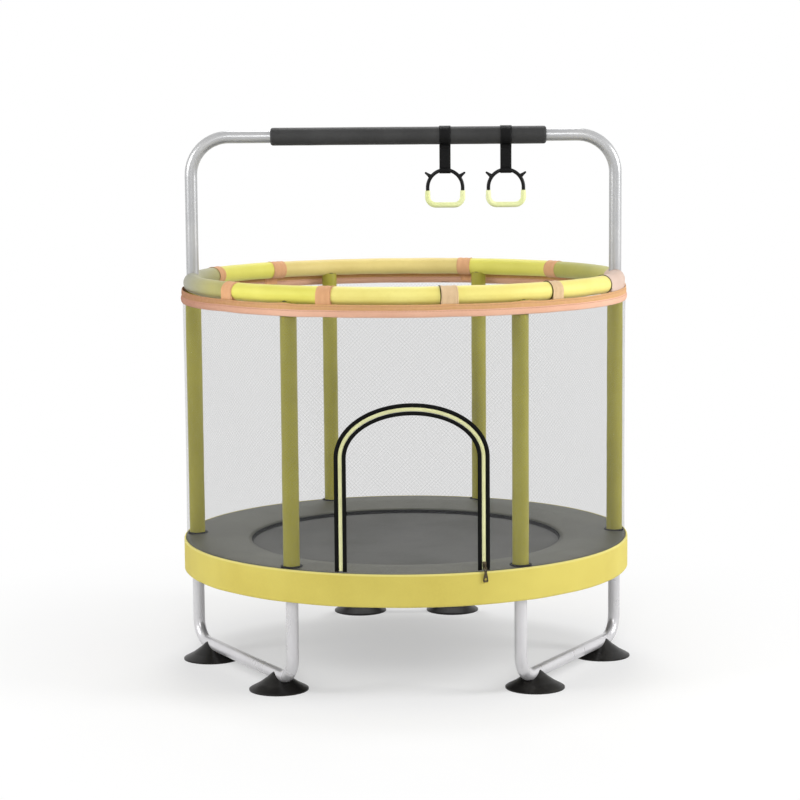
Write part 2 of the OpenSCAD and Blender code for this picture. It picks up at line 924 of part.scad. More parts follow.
// Tapered pull with an eye for the slider's bridge
module zip_pull() {
  color([0.30, 0.27, 0.20])
    at_slider()
      translate([pull_pivot_r, 0, pull_pivot_z]) {
        rotate([90, 0, 0])
          cylinder(h = 9, r = 1.2, center = true);
        for (side = [-1, 1])
          translate([0, side * 3.1, 0])
            rotate([90, 0, 0])
              hull() {
                cylinder(h = 2, r = 1.6, center = true, $fn = 24);
                translate([3.6, -8, 0])
                  cylinder(h = 2, r = 1.2, center = true, $fn = 24);
              }
        translate([2.6, 0, -8])
          rotate([0, 90, 0])
            linear_extrude(1.8)
              difference() {
                polygon([[-1, -4.1], [-1, 4.1], [5, 3.2], [12, 4.8],
                         [26, 7], [29, 5], [29, -5], [26, -7], [12, -4.8],
                         [5, -3.2]]);
                translate([21.5, 0])
                  circle(3.2);
              }
      }
}

// ---------- grab bar, straps and hand rings ----------

module grab_bar() {
  color(steel)
    difference() {
      translate([0, 0, bar_z])
        mirror([0, 0, 1])
          u_tube(post_circle_r, bar_z - bar_tube_bottom, bar_bend_r,
                 bar_r, bar_bore_r);
      for (a = [0, 180])
        at_post(a)
          radial_pin(fitting_screw_z, screw_r + 0.1, 0, bar_r + 2);
    }
}

module bar_grip() {
  round_r = 5;
  half = grip_len / 2;
  color([0.25, 0.25, 0.25])
    translate([grip_x, 0, bar_z])
      rotate([0, 90, 0])
        rotate_extrude()
          polygon(concat(
            [[bar_r + 0.1, -half]],
            [for (t = [-90 : 22.5 : 0])
              [grip_d / 2 - round_r + round_r * cos(t),
               -half + round_r + round_r * sin(t)]],
            [for (t = [0 : 22.5 : 90])
              [grip_d / 2 - round_r + round_r * cos(t),
               half - round_r + round_r * sin(t)]],
            [[bar_r + 0.1, half]]
          ));
}

// Webbing sewn in one loop round the grip and a small one round the hoop
module strap(x) {
  top_in = grip_d / 2 + 0.4;
  web_t = 2;
  eye_in = 7;
  color(black)
    translate([x - strap_w / 2, 0, 0])
      rotate([90, 0, 90])
        linear_extrude(strap_w)
          difference() {
            union() {
              translate([0, bar_z])
                circle(top_in + web_t);
              translate([0, pivot_z])
                circle(eye_in + web_t);
              translate([-2.2, pivot_z])
                square([4.4, bar_z - pivot_z]);
            }
            translate([0, bar_z])
              circle(top_in);
            translate([0, pivot_z])
              circle(eye_in);
          }
}

module strap_left() { strap(strap_left_x); }
module strap_right() { strap(strap_right_x); }

// Upper half of a hand ring, with straight ends and a tapered ear each side
module hoop(x) {
  ear_angle = 37;
  ear_base = hand_ring_r + 2;
  ear_len = 19;
  color(black)
    translate([x, 0, hoop_z])
      rotate([90, 0, 0]) {
        rotate_extrude(angle = 180)
          translate([hand_ring_r, 0])
            circle(hoop_tube_r);
        for (side = [0, 1])
          mirror([side, 0, 0]) {
            translate([hand_ring_r, 0, 0])
              rotate([90, 0, 0])
                cylinder(h = hoop_end_h, r = hoop_tube_r);
            rotate([0, 0, ear_angle])
              translate([ear_base, 0, 0])
                rotate([0, 90, 0])
                  cylinder(h = ear_len, r1 = 4.2, r2 = 1.4);
          }
      }
}

module hand_ring_left() { hoop(strap_left_x); }
module hand_ring_right() { hoop(strap_right_x); }

// Soft lower half of a hand ring, with a flattened bottom
module ring_grip(x) {
  corner = 22;
  drop = 17;
  color([0.93, 0.94, 0.68])
    translate([x, 0, hoop_z - hoop_end_h - 0.2 - drop - corner])
      u_rod(hand_ring_r, drop + corner, corner, grip_tube_r);
}

module ring_grip_left() { ring_grip(strap_left_x); }
module ring_grip_right() { ring_grip(strap_right_x); }

// ---------- assembly ----------

frame_ring();
post_sockets();
socket_screws();
leg_left();
leg_right();
leg_rear();
foot_left_side();
foot_left_front();
foot_right_side();
foot_right_front();
foot_rear_left();
foot_rear_right();
post_left();
post_right();
post_front_left();
post_front_right();
post_rear_left();
post_rear_right();
post_foam_left();
post_foam_right();
post_foam_front_left();
post_foam_front_right();
post_foam_rear_left();
post_foam_rear_right();
post_collars();
jumping_mat();
mat_webbing();
mat_rings();
springs();
spring_pad();
pad_piping();
skirt();
top_ring_tubes();
top_fittings();
top_fitting_screws();
top_ring_foam();
ring_ties();
hem_band();
net_front();
net_left();
net_right();
net_rear();
net_rear_left();
net_rear_right();
zip_outer_tape();
zip_chain();
door_net();
zip_door_tape();
zip_slider();
zip_pull();
grab_bar();
bar_grip();
strap_left();
strap_right();
hand_ring_left();
hand_ring_right();
ring_grip_left();
ring_grip_right();
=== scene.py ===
"""Looks of a children's indoor trampoline with a net and a grab bar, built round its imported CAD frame.

Everything is in metres in the CAD's own frame: +Z up, the entrance towards -Y. The steel, rubber and
moulded pieces are the CAD nodes with better materials. Every soft piece is modelled here.
"""
from bisect import bisect_left
from math import atan2, ceil, cos, degrees, hypot, pi, radians, sin, sqrt, tau

import bpy
import numpy as np
from mathutils import Matrix, Vector, noise


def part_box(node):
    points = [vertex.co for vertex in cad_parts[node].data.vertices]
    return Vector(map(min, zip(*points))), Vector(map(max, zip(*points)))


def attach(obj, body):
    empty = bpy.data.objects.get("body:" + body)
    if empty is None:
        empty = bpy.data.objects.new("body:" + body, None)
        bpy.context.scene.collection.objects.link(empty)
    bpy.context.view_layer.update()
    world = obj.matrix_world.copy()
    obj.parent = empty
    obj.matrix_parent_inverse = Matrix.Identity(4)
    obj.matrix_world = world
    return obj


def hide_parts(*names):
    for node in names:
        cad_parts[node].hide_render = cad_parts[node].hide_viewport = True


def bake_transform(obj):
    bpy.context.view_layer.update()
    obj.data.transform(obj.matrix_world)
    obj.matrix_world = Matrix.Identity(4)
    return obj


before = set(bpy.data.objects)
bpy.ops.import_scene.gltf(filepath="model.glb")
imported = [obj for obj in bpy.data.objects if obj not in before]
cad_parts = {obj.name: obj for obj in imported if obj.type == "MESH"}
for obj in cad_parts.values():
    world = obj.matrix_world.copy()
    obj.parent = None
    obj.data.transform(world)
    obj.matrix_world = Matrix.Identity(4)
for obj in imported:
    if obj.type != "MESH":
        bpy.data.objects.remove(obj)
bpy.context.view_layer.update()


# ---------- measures taken from the frame ----------

def middle(node):
    low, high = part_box(node)
    return (low + high) / 2


def extent(node):
    low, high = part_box(node)
    return high - low


def bottom(node):
    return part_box(node)[0].z


def top(node):
    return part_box(node)[1].z


SIDES = ("left", "right")
POSTS = ("left", "right", "front_left", "front_right", "rear_left", "rear_right")
POST_AT = {post: middle("post_" + post) for post in POSTS}
POST_ANGLE = {post: degrees(atan2(at.y, at.x)) % 360 for post, at in POST_AT.items()}
POST_CIRCLE = POST_AT["right"].x
POST_R = extent("post_right").x / 2
POST_FOAM_R = extent("post_foam_left").x / 2
RING_Z = middle("top_ring_tubes").z
RING_TUBE_R = extent("top_ring_tubes").z / 2
# How far the ring foam's outside sags below its tube
FOAM_DROP = 0.0020
RING_FOAM_R = extent("top_ring_foam").z / 2 + FOAM_DROP
MAT_R = extent("jumping_mat").x / 2
MAT_Z = middle("jumping_mat").z
SPRING_COUNT = 36
LINK_ANGLES = [(i + 0.5) * tau / SPRING_COUNT for i in range(SPRING_COUNT)]
PAD_TOP, PAD_BOTTOM = top("spring_pad"), bottom("spring_pad")
SKIRT_R = extent("skirt").x / 2
BAND_LOW, BAND_HIGH = bottom("hem_band"), top("hem_band")
NET_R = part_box("net_rear")[1].y - 0.001
NET_LOW, NET_HIGH = bottom("net_left"), top("net_left")
# The net's sheets reach a little below the CAD net's lower edge and up behind the hem band
SHEET_LOW, SHEET_HIGH = NET_LOW - 0.002, BAND_LOW + 0.004
BAR_R = extent("grab_bar").y / 2
GRIP_R = extent("bar_grip").z / 2
BAR_Z = top("bar_grip") - GRIP_R

# The door: the zip's centre line is a straight line each side and half an ellipse on top
CHAIN_HALF = 0.005
TAPE_W = 0.010
DOOR_X = middle("zip_chain").x
DOOR_HALF = extent("zip_chain").x / 2 - CHAIN_HALF
DOOR_SPRING_Z = 0.628
DOOR_RISE = top("zip_chain") - CHAIN_HALF - DOOR_SPRING_Z
# Steps along each straight side of the zip
SIDE_STEPS = 14

# Angles of the fabric ties round the top ring, in degrees from the X axis
TIE_ANGLES = (-109.8, -79, -49.2, 0, 40.7, 71.7, 130.4, 157.5, 220.5)
TIE_W = 0.042
# The tie at 0 is a wide wrap, with its middle at this angle
WRAP_ANGLE, WRAP_W = -10.0, 0.302


# ---------- meshes ----------

def polar(r, angle, z, x=0.0, y=0.0):
    """The point at radius r and an angle in radians round the upright line through x, y."""
    return (x + r * cos(angle), y + r * sin(angle), z)


def spaced(first, last, steps):
    """Evenly spaced values, with both ends."""
    return [first + (last - first) * i / steps for i in range(steps + 1)]


def turns(around):
    """Angles in radians evenly round a circle."""
    return [tau * i / around for i in range(around)]


def apart(a, b):
    """How far apart two angles in degrees are, from 0 to 180."""
    return abs((a - b + 180) % 360 - 180)


def from_posts(angle):
    """How many degrees the nearest post is away."""
    return min(apart(angle, at) for at in POST_ANGLE.values())


def run_lengths(path):
    """How far along a path of 2-D points each point lies."""
    run = [0.0]
    for (a, b), (c, d) in zip(path, path[1:]):
        run.append(run[-1] + hypot(c - a, d - b))
    return run


def wobble(x, y, z, scale):
    """Smooth noise from -1 to 1 with features about 1/scale metres wide."""
    return noise.noise(Vector((x * scale, y * scale, z * scale)))


def round_wobble(angle, z, scale):
    """The same on a cylinder of radius 1, where it closes on itself."""
    return wobble(cos(angle), sin(angle), z, scale)


def add_object(name, data):
    made = bpy.data.objects.new(name, data)
    bpy.context.scene.collection.objects.link(made)
    return made


def add_mesh(name, points, faces, weave=None):
    """A smooth mesh object. weave holds each point's place on the flat cloth, in metres."""
    mesh = bpy.data.meshes.new(name)
    mesh.from_pydata([tuple(p) for p in points], [], faces)
    mesh.polygons.foreach_set("use_smooth", [True] * len(mesh.polygons))
    if weave is not None:
        flat = np.zeros((len(points), 3), np.float32)
        flat[:, :2] = np.asarray(weave, np.float32).reshape(-1, 2)
        mesh.attributes.new("weave", "FLOAT_VECTOR", "POINT")
        mesh.attributes["weave"].data.foreach_set("vector", flat.ravel())
    mesh.validate()
    mesh.update()
    return add_object(name, mesh)


def loft(rows, around, wrap=False, closed=True, capped=False, start=0, turned=False):
    """Faces between rows of points: wrap joins the last row to the first, closed each row's two ends."""
    faces = []
    for i in range(rows if wrap else rows - 1):
        a, b = start + i * around, start + (i + 1) % rows * around
        for j in range(around if closed else around - 1):
            k = (j + 1) % around
            faces.append((a + j, a + k, b + k, b + j))
    if capped:
        faces.append(tuple(start + j for j in reversed(range(around))))
        faces.append(tuple(start + (rows - 1) * around + j for j in range(around)))
    return [face[::-1] for face in faces] if turned else faces


def add_rows(name, points, around, weave=None, **how):
    """A mesh through rows of points, with around points to a row."""
    return add_mesh(name, points, loft(len(points) // around, around, **how), weave)


def tube_points(path, radii, around, side):
    """Rows of points round a path, kept square to it with no sudden twist. The first lies towards side."""
    points = []
    for i, (at, radius) in enumerate(zip(path, radii)):
        run = (path[min(i + 1, len(path) - 1)] - path[max(i - 1, 0)]).normalized()
        side = (side - run * side.dot(run)).normalized()
        other = run.cross(side)
        points += [at + radius * (side * cos(turn) + other * sin(turn)) for turn in turns(around)]
    return points


def revolve(name, profile, around, wave=None):
    """Turns (radius, z) points about Z, from a seam at the back.

    wave(angle, radius, z) shifts a point by (radial, up)."""
    widest, run = max(r for r, z in profile), run_lengths(profile)
    points, weave = [], []
    for turn in spaced(0.0, tau, around):
        angle = pi / 2 + turn
        for (r, z), along in zip(profile, run):
            out, up = wave(angle, r, z) if wave else (0.0, 0.0)
            points.append(polar(r + out, angle, z + up))
            weave.append((widest * turn, along))
    return add_rows(name, points, len(profile), weave, turned=True)


def settle(piece, material, body="frame", nodes=(), solid=0.0, smooth=0):
    """Gives a finished piece its material, its body and the CAD nodes that it stands for."""
    piece.data.materials.clear()
    piece.data.materials.append(material)
    if solid:
        shell = piece.modifiers.new("thickness", "SOLIDIFY")
        shell.thickness = solid
        shell.offset = 0.0
    if smooth:
        piece.modifiers.new("round", "SUBSURF").levels = smooth
        piece.modifiers["round"].render_levels = smooth
    if body:
        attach(piece, body)
    if nodes:
        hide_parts(*nodes)


# ---------- materials ----------

def srgb(red, green, blue):
    """A colour given as 0 to 255 in sRGB, in linear light."""
    parts = [x / 255 for x in (red, green, blue)]
    return [x / 12.92 if x <= 0.04045 else ((x + 0.055) / 1.055) ** 2.4 for x in parts] + [1.0]


def shade(colour, factor, lift=0.0):
    return [min(1.0, x * factor + lift) for x in colour[:3]] + [1.0]


class Graph:
    """The nodes of a material or the world. base and normal are its colour and its relief so far."""

    def __init__(self, name, data="materials", shader="Principled BSDF"):
        self.made = getattr(bpy.data, data).new(name)
        self.made.use_nodes = True
        self.tree = self.made.node_tree
        self.shader = self.tree.nodes[shader]
        self.base = self.normal = None
        self.place = self.node("TexCoord").outputs["Object"]
        flat = self.node("Attribute", attribute_name="weave").outputs["Vector"]
        self.u, self.v = self.node("SeparateXYZ", {0: flat}).outputs[:2]

    def node(self, kind, inputs=(), **settings):
        made = self.tree.nodes.new("ShaderNode" + kind)
        for key, value in settings.items():
            setattr(made, key, value)
        for key, value in dict(inputs).items():
            self.put(made.inputs[key], value)
        return made

    def put(self, socket, value):
        if isinstance(value, bpy.types.NodeSocket):
            self.tree.links.new(value, socket)
        else:
            socket.default_value = value

    def set(self, **values):
        """Puts values on the shader's sockets; an underscore stands for a space."""
        for key, value in values.items():
            self.put(self.shader.inputs[key.replace("_", " ")], value)
        return self.made

    def finish(self, roughness, **more):
        return self.set(Base_Color=self.base, Roughness=roughness, Normal=self.normal, **more)

    def tint(self, factor, colour):
        self.base = self.mix(factor, self.base, colour)

    def relief(self, height, distance, strength):
        """Adds bumps to the normal. The height is 0 to 1, and distance is what 1 stands for."""
        inputs = {"Strength": strength, "Distance": distance, "Height": height}
        if self.normal:
            inputs["Normal"] = self.normal
        self.normal = self.node("Bump", inputs).outputs[0]

    def math(self, operation, a, b=0.0):
        return self.node("Math", {0: a, 1: b}, operation=operation).outputs[0]

    def times(self, a, b):
        return self.math("MULTIPLY", a, b)

    def ramp(self, value, low, high, out_low=0.0, out_high=1.0):
        inputs = {0: value, 1: low, 2: high, 3: out_low, 4: out_high}
        return self.node("MapRange", inputs).outputs[0]

    def spread(self, value, out_low=0.0, out_high=1.0):
        """Stretches a noise, which mostly lies between 0.3 and 0.7, over a range."""
        return self.ramp(value, 0.3, 0.7, out_low, out_high)

    def mix(self, factor, a, b, blend="MIX"):
        return self.node("Mix", {0: factor, 6: a, 7: b}, data_type="RGBA", blend_type=blend).outputs[2]

    def noise(self, scale, detail=3.0, stretch=None):
        vector = self.node("Mapping", {0: self.place, 3: stretch}).outputs[0] if stretch else self.place
        inputs = {"Vector": vector, "Scale": scale, "Detail": detail}
        return self.node("TexNoise", inputs).outputs[0]

    def wave(self, value, pitch):
        """Height 0 to 1 of a round thread every pitch metres."""
        return self.math("ABSOLUTE", self.math("SINE", self.times(value, pi / pitch)))

    def plain_weave(self, pitch):
        """Height of threads that go over and under each other."""
        step_u = self.math("FLOOR", self.times(self.u, 1 / pitch))
        step_v = self.math("FLOOR", self.times(self.v, 1 / pitch))
        odd = self.math("PINGPONG", self.math("ADD", step_u, step_v), 1.0)
        over = self.times(self.wave(self.u, pitch), odd)
        under = self.times(self.wave(self.v, pitch), self.math("SUBTRACT", 1.0, odd))
        return self.math("ADD", over, under)

    def band(self, value, at, half):
        """1 where value lies within half of at, else 0."""
        away = self.math("ABSOLUTE", self.math("SUBTRACT", value, at))
        return self.math("LESS_THAN", away, half)

    def stitches(self, at, pitch=0.0035):
        """1 on a row of stitches that runs along the cloth at a place across it."""
        dash = self.math("FRACT", self.times(self.u, 1 / pitch))
        return self.times(self.band(self.v, at, 0.0006), self.math("LESS_THAN", dash, 0.68))

    def sew(self, rows, thread):
        """Adds rows of raised stitches."""
        for at in rows:
            row = self.stitches(at)
            self.tint(row, thread)
            self.relief(row, 0.0005, 0.8)

    def fade(self, low, high, worn):
        """Turns the base to another colour towards the left post, where X is lowest."""
        x = self.node("SeparateXYZ", {0: self.place}).outputs[0]
        self.base = self.mix(self.ramp(x, low, high), worn, self.base)

    def seen(self):
        """1 for what the camera sees, also in gloss and through things, and 0 for light that bounces."""
        rays = self.node("LightPath").outputs
        seen = self.math("MAXIMUM", rays["Is Camera Ray"], rays["Is Glossy Ray"])
        return self.math("MAXIMUM", seen, rays["Is Transmission Ray"])


def painted_steel(name, light, dark):
    g = Graph(name)
    cloudy = g.noise(9.0, 4.0)
    scuff = g.ramp(g.noise(60.0, 6.0, stretch=(1, 1, 0.2)), 0.60, 0.72)
    g.base = g.mix(g.spread(cloudy), dark, light)
    g.tint(g.times(scuff, 0.2), shade(dark, 0.7))
    g.relief(g.noise(420.0, 2.0), 0.00012, 0.5)
    return g.finish(g.spread(cloudy, 0.26, 0.34), Metallic=0.5)


def zinc():
    g = Graph("zinc_plated")
    spangle = g.noise(260.0, 5.0)
    g.base = g.mix(g.ramp(spangle, 0.35, 0.65), srgb(178, 180, 184), srgb(214, 214, 212))
    g.relief(g.noise(900.0, 2.0), 0.0001, 0.4)
    return g.finish(g.spread(spangle, 0.24, 0.42), Metallic=0.95)


def foot_rubber():
    g = Graph("foot_rubber")
    dust = g.ramp(g.noise(26.0, 6.0), 0.48, 0.80, 0.0, 0.18)
    g.base = g.mix(dust, srgb(27, 26, 25), srgb(80, 78, 74))
    g.relief(g.noise(700.0, 3.0), 0.00025, 0.6)
    return g.finish(g.ramp(dust, 0.0, 0.18, 0.36, 0.52), Specular_IOR_Level=0.22)


def skinned_foam(name, light, dark, roughness=0.46, seam=False, left_end_tint=None, gloss=0.35):
    """Foam under a thin knitted or printed skin, with small dents and a fine grain, and painted shade in the
    dents and between the knit's threads.

    faded is its colour towards the left post, which makes it darker and greyer there."""
    g = Graph(name)
    dents = g.noise(85.0, 3.0)
    knit = g.plain_weave(0.0012)
    g.base = g.mix(g.spread(g.noise(7.0, 4.0)), light, dark)
    if left_end_tint:
        g.fade(-0.585, -0.50, left_end_tint)
    # Painted shade: darker in the dents and in the gaps of the knit, where the relief below is low
    g.tint(g.ramp(dents, 0.25, 0.5, 0.22, 0.0), dark)
    g.tint(g.ramp(knit, 0.0, 1.0, 0.16, 0.0), dark)
    g.relief(dents, 0.0016, 0.35)
    g.relief(knit, 0.00018, 0.5)
    if seam:
        line = g.band(g.u, 0.0, 0.0006)
        g.tint(g.times(line, 0.6), dark)
        g.relief(g.math("SUBTRACT", 1.0, line), 0.0012, 0.8)
    return g.finish(g.spread(g.noise(900.0, 2.0), roughness - 0.06, roughness + 0.08),
                    Specular_IOR_Level=gloss, Sheen_Weight=0.05, Sheen_Roughness=0.5)


def cloth(name, light, dark, pitch=0.0009, roughness=0.75, sheen=0.1, rows=(), thread=None, strip=None,
          gloss=0.2, left_end_tint=None):
    """Woven fabric with a broad fade, painted shade in the gaps between the threads, and rows of stitches.

    strip is (from, to, colour): a strip of another colour across the weave's second direction.
    faded is a colour that it is multiplied by towards the left post, which makes it darker there."""
    g = Graph(name)
    slub = g.noise(140.0, 2.0)
    threads = g.plain_weave(pitch)
    g.base = g.mix(g.spread(g.noise(5.0, 4.0)), light, dark)
    if strip:
        low, high, colour = strip
        g.tint(g.band(g.v, (low + high) / 2, (high - low) / 2), colour)
    if left_end_tint:
        g.fade(-0.60, -0.34, g.mix(1.0, g.base, left_end_tint, "MULTIPLY"))
    # Painted shade: darker where the threads dip, in the gaps between them
    g.tint(g.ramp(threads, 0.0, 0.7, 0.26, 0.0), shade(dark, 0.6))
    g.tint(g.ramp(slub, 0.4, 0.75, 0.0, 0.18), light)
    g.relief(threads, 0.0003, 0.7)
    g.relief(g.noise(45.0, 3.0), 0.0012, 0.25)
    g.sew(rows, thread)
    return g.finish(g.spread(slub, roughness - 0.07, roughness + 0.07),
                    Specular_IOR_Level=gloss, Sheen_Weight=sheen, Sheen_Roughness=0.45)


def webbing(name, light, dark, roughness=0.55, rows=(), thread=None):
    """Close-woven webbing: ribs along it with a zigzag across, and painted shade in the grooves between the
    ribs.
    """
    g = Graph(name)
    slant = g.math("ADD", g.u, g.times(g.math("PINGPONG", g.v, 0.004), 0.9))
    ribs = g.times(g.wave(slant, 0.0016), g.ramp(g.wave(g.v, 0.0011), 0, 1, 0.6, 1.0))
    # Painted shade: the colour follows the ribs' height, darker in the grooves between them
    g.base = g.mix(g.ramp(ribs, 0.1, 0.9), dark, light)
    g.tint(g.ramp(g.noise(30.0, 4.0), 0.45, 0.8, 0.0, 0.25), dark)
    g.relief(ribs, 0.0004, 0.7)
    g.sew(rows, thread or light)
    return g.finish(g.ramp(ribs, 0, 1, roughness + 0.12, roughness - 0.05), Specular_IOR_Level=0.1)


def coated_pad():
    """Vinyl-coated fabric: a fine linen grain, soft creases, a faint bloom of dust and painted shade between
    the threads.
    """
    g = Graph("pad_cover")
    grain = g.noise(650.0, 3.0)
    threads = g.plain_weave(0.0009)
    crease = g.ramp(g.noise(16.0, 5.0, stretch=(1.0, 1.0, 0.3)), 0.46, 0.54)
    g.base = g.mix(g.spread(g.noise(4.0, 5.0)), srgb(72, 73, 61), srgb(85, 85, 73))
    # Painted shade: darker in the gaps between the threads
    g.tint(g.ramp(threads, 0.0, 0.6, 0.20, 0.0), srgb(56, 56, 49))
    g.tint(g.times(crease, 0.10), srgb(112, 112, 102))
    for at in (0.012, 0.020):
        g.tint(g.stitches(at, 0.004), srgb(58, 58, 51))
    g.relief(g.noise(28.0, 4.0), 0.003, 0.25)
    g.relief(threads, 0.0002, 0.5)
    g.relief(grain, 0.00012, 0.3)
    return g.finish(g.spread(grain, 0.46, 0.60), Specular_IOR_Level=0.3, Coat_Weight=0.04,
                    Coat_Roughness=0.4)


def net_fabric():
    """Fine polyester mesh, mostly holes: a lattice of heavier diamonds over a close knit."""
    g = Graph("net_mesh")
    slants = (g.math("ADD", g.u, g.v), g.math("SUBTRACT", g.u, g.v))
    thick = g.math("MINIMUM", *(g.wave(slant, 0.0108) for slant in slants))
    fine = g.math("MINIMUM", *(g.wave(slant, 0.0014) for slant in slants))
    strand = g.ramp(thick, 0.10, 0.22, 1.0, 0.0)
    thread = g.ramp(fine, 0.30, 0.42, 1.0, 0.0)
    cover = g.math("MAXIMUM", g.times(strand, 0.32), g.ramp(thread, 0.0, 1.0, 0.10, 0.25))
    g.base = g.mix(g.spread(g.noise(4.0, 3.0)), srgb(106, 107, 110), srgb(116, 117, 119))
    g.tint(g.times(strand, 0.5), srgb(128, 129, 130))
    g.relief(g.math("MAXIMUM", strand, thread), 0.0003, 0.6)
    return g.finish(0.75, Specular_IOR_Level=0.2, Alpha=cover)


def moulded(name, light, dark, roughness, gloss=0.4):
    """Moulded plastic with a light grain and faint scratches."""
    g = Graph(name)
    grain = g.noise(800.0, 2.0)
    scratch = g.ramp(g.noise(120.0, 6.0, stretch=(1.0, 1.0, 6.0)), 0.62, 0.70)
    g.base = g.mix(g.spread(g.noise(18.0, 3.0)), dark, light)
    g.tint(g.times(scratch, 0.2), shade(light, 1.8, 0.02))
    g.relief(grain, 0.0001, 0.4)
    return g.finish(g.spread(grain, roughness - 0.04, roughness + 0.06), Specular_IOR_Level=gloss)


def dark_plated():
    g = Graph("zip_metal")
    worn = g.ramp(g.noise(240.0, 5.0), 0.50, 0.72)
    g.base = g.mix(worn, srgb(74, 66, 52), srgb(122, 108, 82))
    g.relief(g.noise(1500.0, 2.0), 0.00008, 0.4)
    return g.finish(g.ramp(worn, 0, 1, 0.36, 0.5), Metallic=0.9)


def floor_paint():
    """A pale floor that keeps the object's shadow and shows white to the camera further out."""
    g = Graph("floor")
    seen = g.seen()
    far = g.ramp(g.node("VectorMath", {0: g.place}, operation="LENGTH").outputs["Value"], 0.62, 1.7)
    grain = g.mix(g.noise(30.0, 3.0), srgb(226, 226, 226), srgb(229, 229, 229))
    shown = g.mix(far, srgb(188, 188, 188), (0, 0, 0, 1))
    glow = g.times(seen, g.ramp(far, 0.0, 1.0, 0.445, 1.0))
    return g.set(Base_Color=g.mix(seen, grain, shown), Roughness=0.9, Specular_IOR_Level=0.0,
                 Emission_Color=(1, 1, 1, 1), Emission_Strength=glow)


STEEL = painted_steel("silver_tube", srgb(186, 186, 186), srgb(174, 175, 177))
# The legs' copy of the tube paint, made lighter: painted light that makes up for the pad's shadow over the
# legs
LIGHTENED_LEG_STEEL = painted_steel("leg_tube_painted_light", srgb(216, 215, 217), srgb(206, 205, 207))
ZINC = zinc()
RUBBER = foot_rubber()
OLIVE_FOAM = skinned_foam("olive_foam", srgb(172, 165, 58), srgb(158, 151, 48), 0.42, seam=True)
RING_FOAM = skinned_foam("ring_foam", srgb(245, 234, 138), srgb(234, 218, 116))
POST_END_FOAM = skinned_foam("ring_foam_faded", srgb(184, 178, 108), srgb(168, 162, 96),
                             left_end_tint=srgb(146, 146, 132))
LEMON_RING_FOAM = skinned_foam("ring_foam_lemon", srgb(238, 232, 112), srgb(226, 220, 96))
BEIGE_RING_FOAM = skinned_foam("ring_foam_beige", srgb(236, 216, 138), srgb(222, 200, 122))
OLIVE_RING_FOAM = skinned_foam("ring_foam_olive", srgb(196, 190, 98), srgb(172, 170, 84))
GRIP_FOAM = skinned_foam("grip_foam", srgb(68, 68, 68), srgb(52, 52, 52), 0.5, gloss=0.15)
PALE_GRIP = skinned_foam("ring_grip", srgb(244, 248, 196), srgb(232, 238, 170), 0.5)
BLACK_BINDING = webbing("black_binding", srgb(18, 18, 15), srgb(7, 7, 5))
BLACK_WEBBING = webbing("black_webbing", srgb(36, 36, 36), srgb(14, 14, 14), rows=(0.004, 0.018))
STRAP_WEBBING = webbing("strap_webbing", srgb(22, 22, 23), srgb(8, 8, 8), 0.36,
                        rows=(-0.0125, 0.0125), thread=srgb(22, 22, 22))
MAT_FABRIC = cloth("mat_fabric", srgb(96, 96, 94), srgb(76, 77, 72), 0.0016, 0.7, 0.05)
PAD_COVER = coated_pad()
SKIRT_FABRIC = cloth("skirt_fabric", srgb(228, 213, 108), srgb(214, 196, 92), roughness=0.7,
                     rows=(0.006, 0.088), thread=srgb(236, 224, 136),
                     strip=(0.0, 0.0085, srgb(234, 222, 132)))
SALMON = cloth("salmon_fabric", srgb(238, 184, 138), srgb(224, 166, 118),
               rows=(0.0185, 0.034), thread=srgb(188, 128, 98))
BEIGE = cloth("beige_fabric", srgb(234, 204, 162), srgb(220, 186, 144),
              rows=(0.0185,), thread=srgb(196, 158, 122))
PALE_SALMON = cloth("pale_salmon_fabric", srgb(228, 204, 190), srgb(210, 182, 164))
BAND_FABRIC = cloth("band_fabric", srgb(244, 194, 166), srgb(230, 176, 146),
                    rows=(0.0185, 0.032), thread=srgb(188, 128, 98),
                    strip=(0.0218, 0.045, srgb(218, 168, 112)),
                    left_end_tint=srgb(186, 166, 160))
NET = net_fabric()
ZIP_TAPE = cloth("zip_tape", srgb(20, 20, 19), srgb(10, 10, 10), 0.0007, sheen=0.0, gloss=0.08)
ZIP_TEETH = moulded("zip_teeth", srgb(238, 238, 186), srgb(222, 222, 166), 0.38)
ZIP_METAL = dark_plated()
HOOP_PLASTIC = moulded("hoop_plastic", srgb(20, 20, 20), srgb(12, 12, 12), 0.26, 0.15)
FITTING = moulded("fitting_plastic", srgb(40, 40, 41), srgb(30, 30, 31), 0.45)

# The lengths of ring foam that have another skin, by the angle where each starts
RING_SKINS = {0: OLIVE_RING_FOAM, 40.7: LEMON_RING_FOAM, 71.7: BEIGE_RING_FOAM, 130.4: LEMON_RING_FOAM,
              157.5: POST_END_FOAM, 220.5: LEMON_RING_FOAM}
PALE_TIES = {-79: BEIGE, -49.2: BEIGE, 0: PALE_SALMON}


# ---------- CAD nodes that keep their shape ----------

def dress(material, slot, *names):
    for name in names:
        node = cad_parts[name]
        node.data.materials.clear()
        node.data.materials.append(material)


def dress_cad_nodes():
    dress(STEEL, "steel_tube", "frame_ring", "post_sockets", "top_ring_tubes", "grab_bar",
          *("post_" + post for post in POSTS))
    # The legs take the lighter copy of the paint: painted light against the pad's shadow
    dress(LIGHTENED_LEG_STEEL, "steel_tube", "leg_left", "leg_right", "leg_rear")
    dress(ZINC, "zinc_steel", "socket_screws", "top_fitting_screws", "mat_rings")
    dress(RUBBER, "foot_rubber", *(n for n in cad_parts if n.startswith("foot_")))
    dress(FITTING, "fitting_plastic", "top_fittings")
    dress(ZIP_METAL, "zip_metal", "zip_slider", "zip_pull")
    dress(HOOP_PLASTIC, "ring_plastic", "hand_ring_left", "hand_ring_right")


# ---------- foam ----------

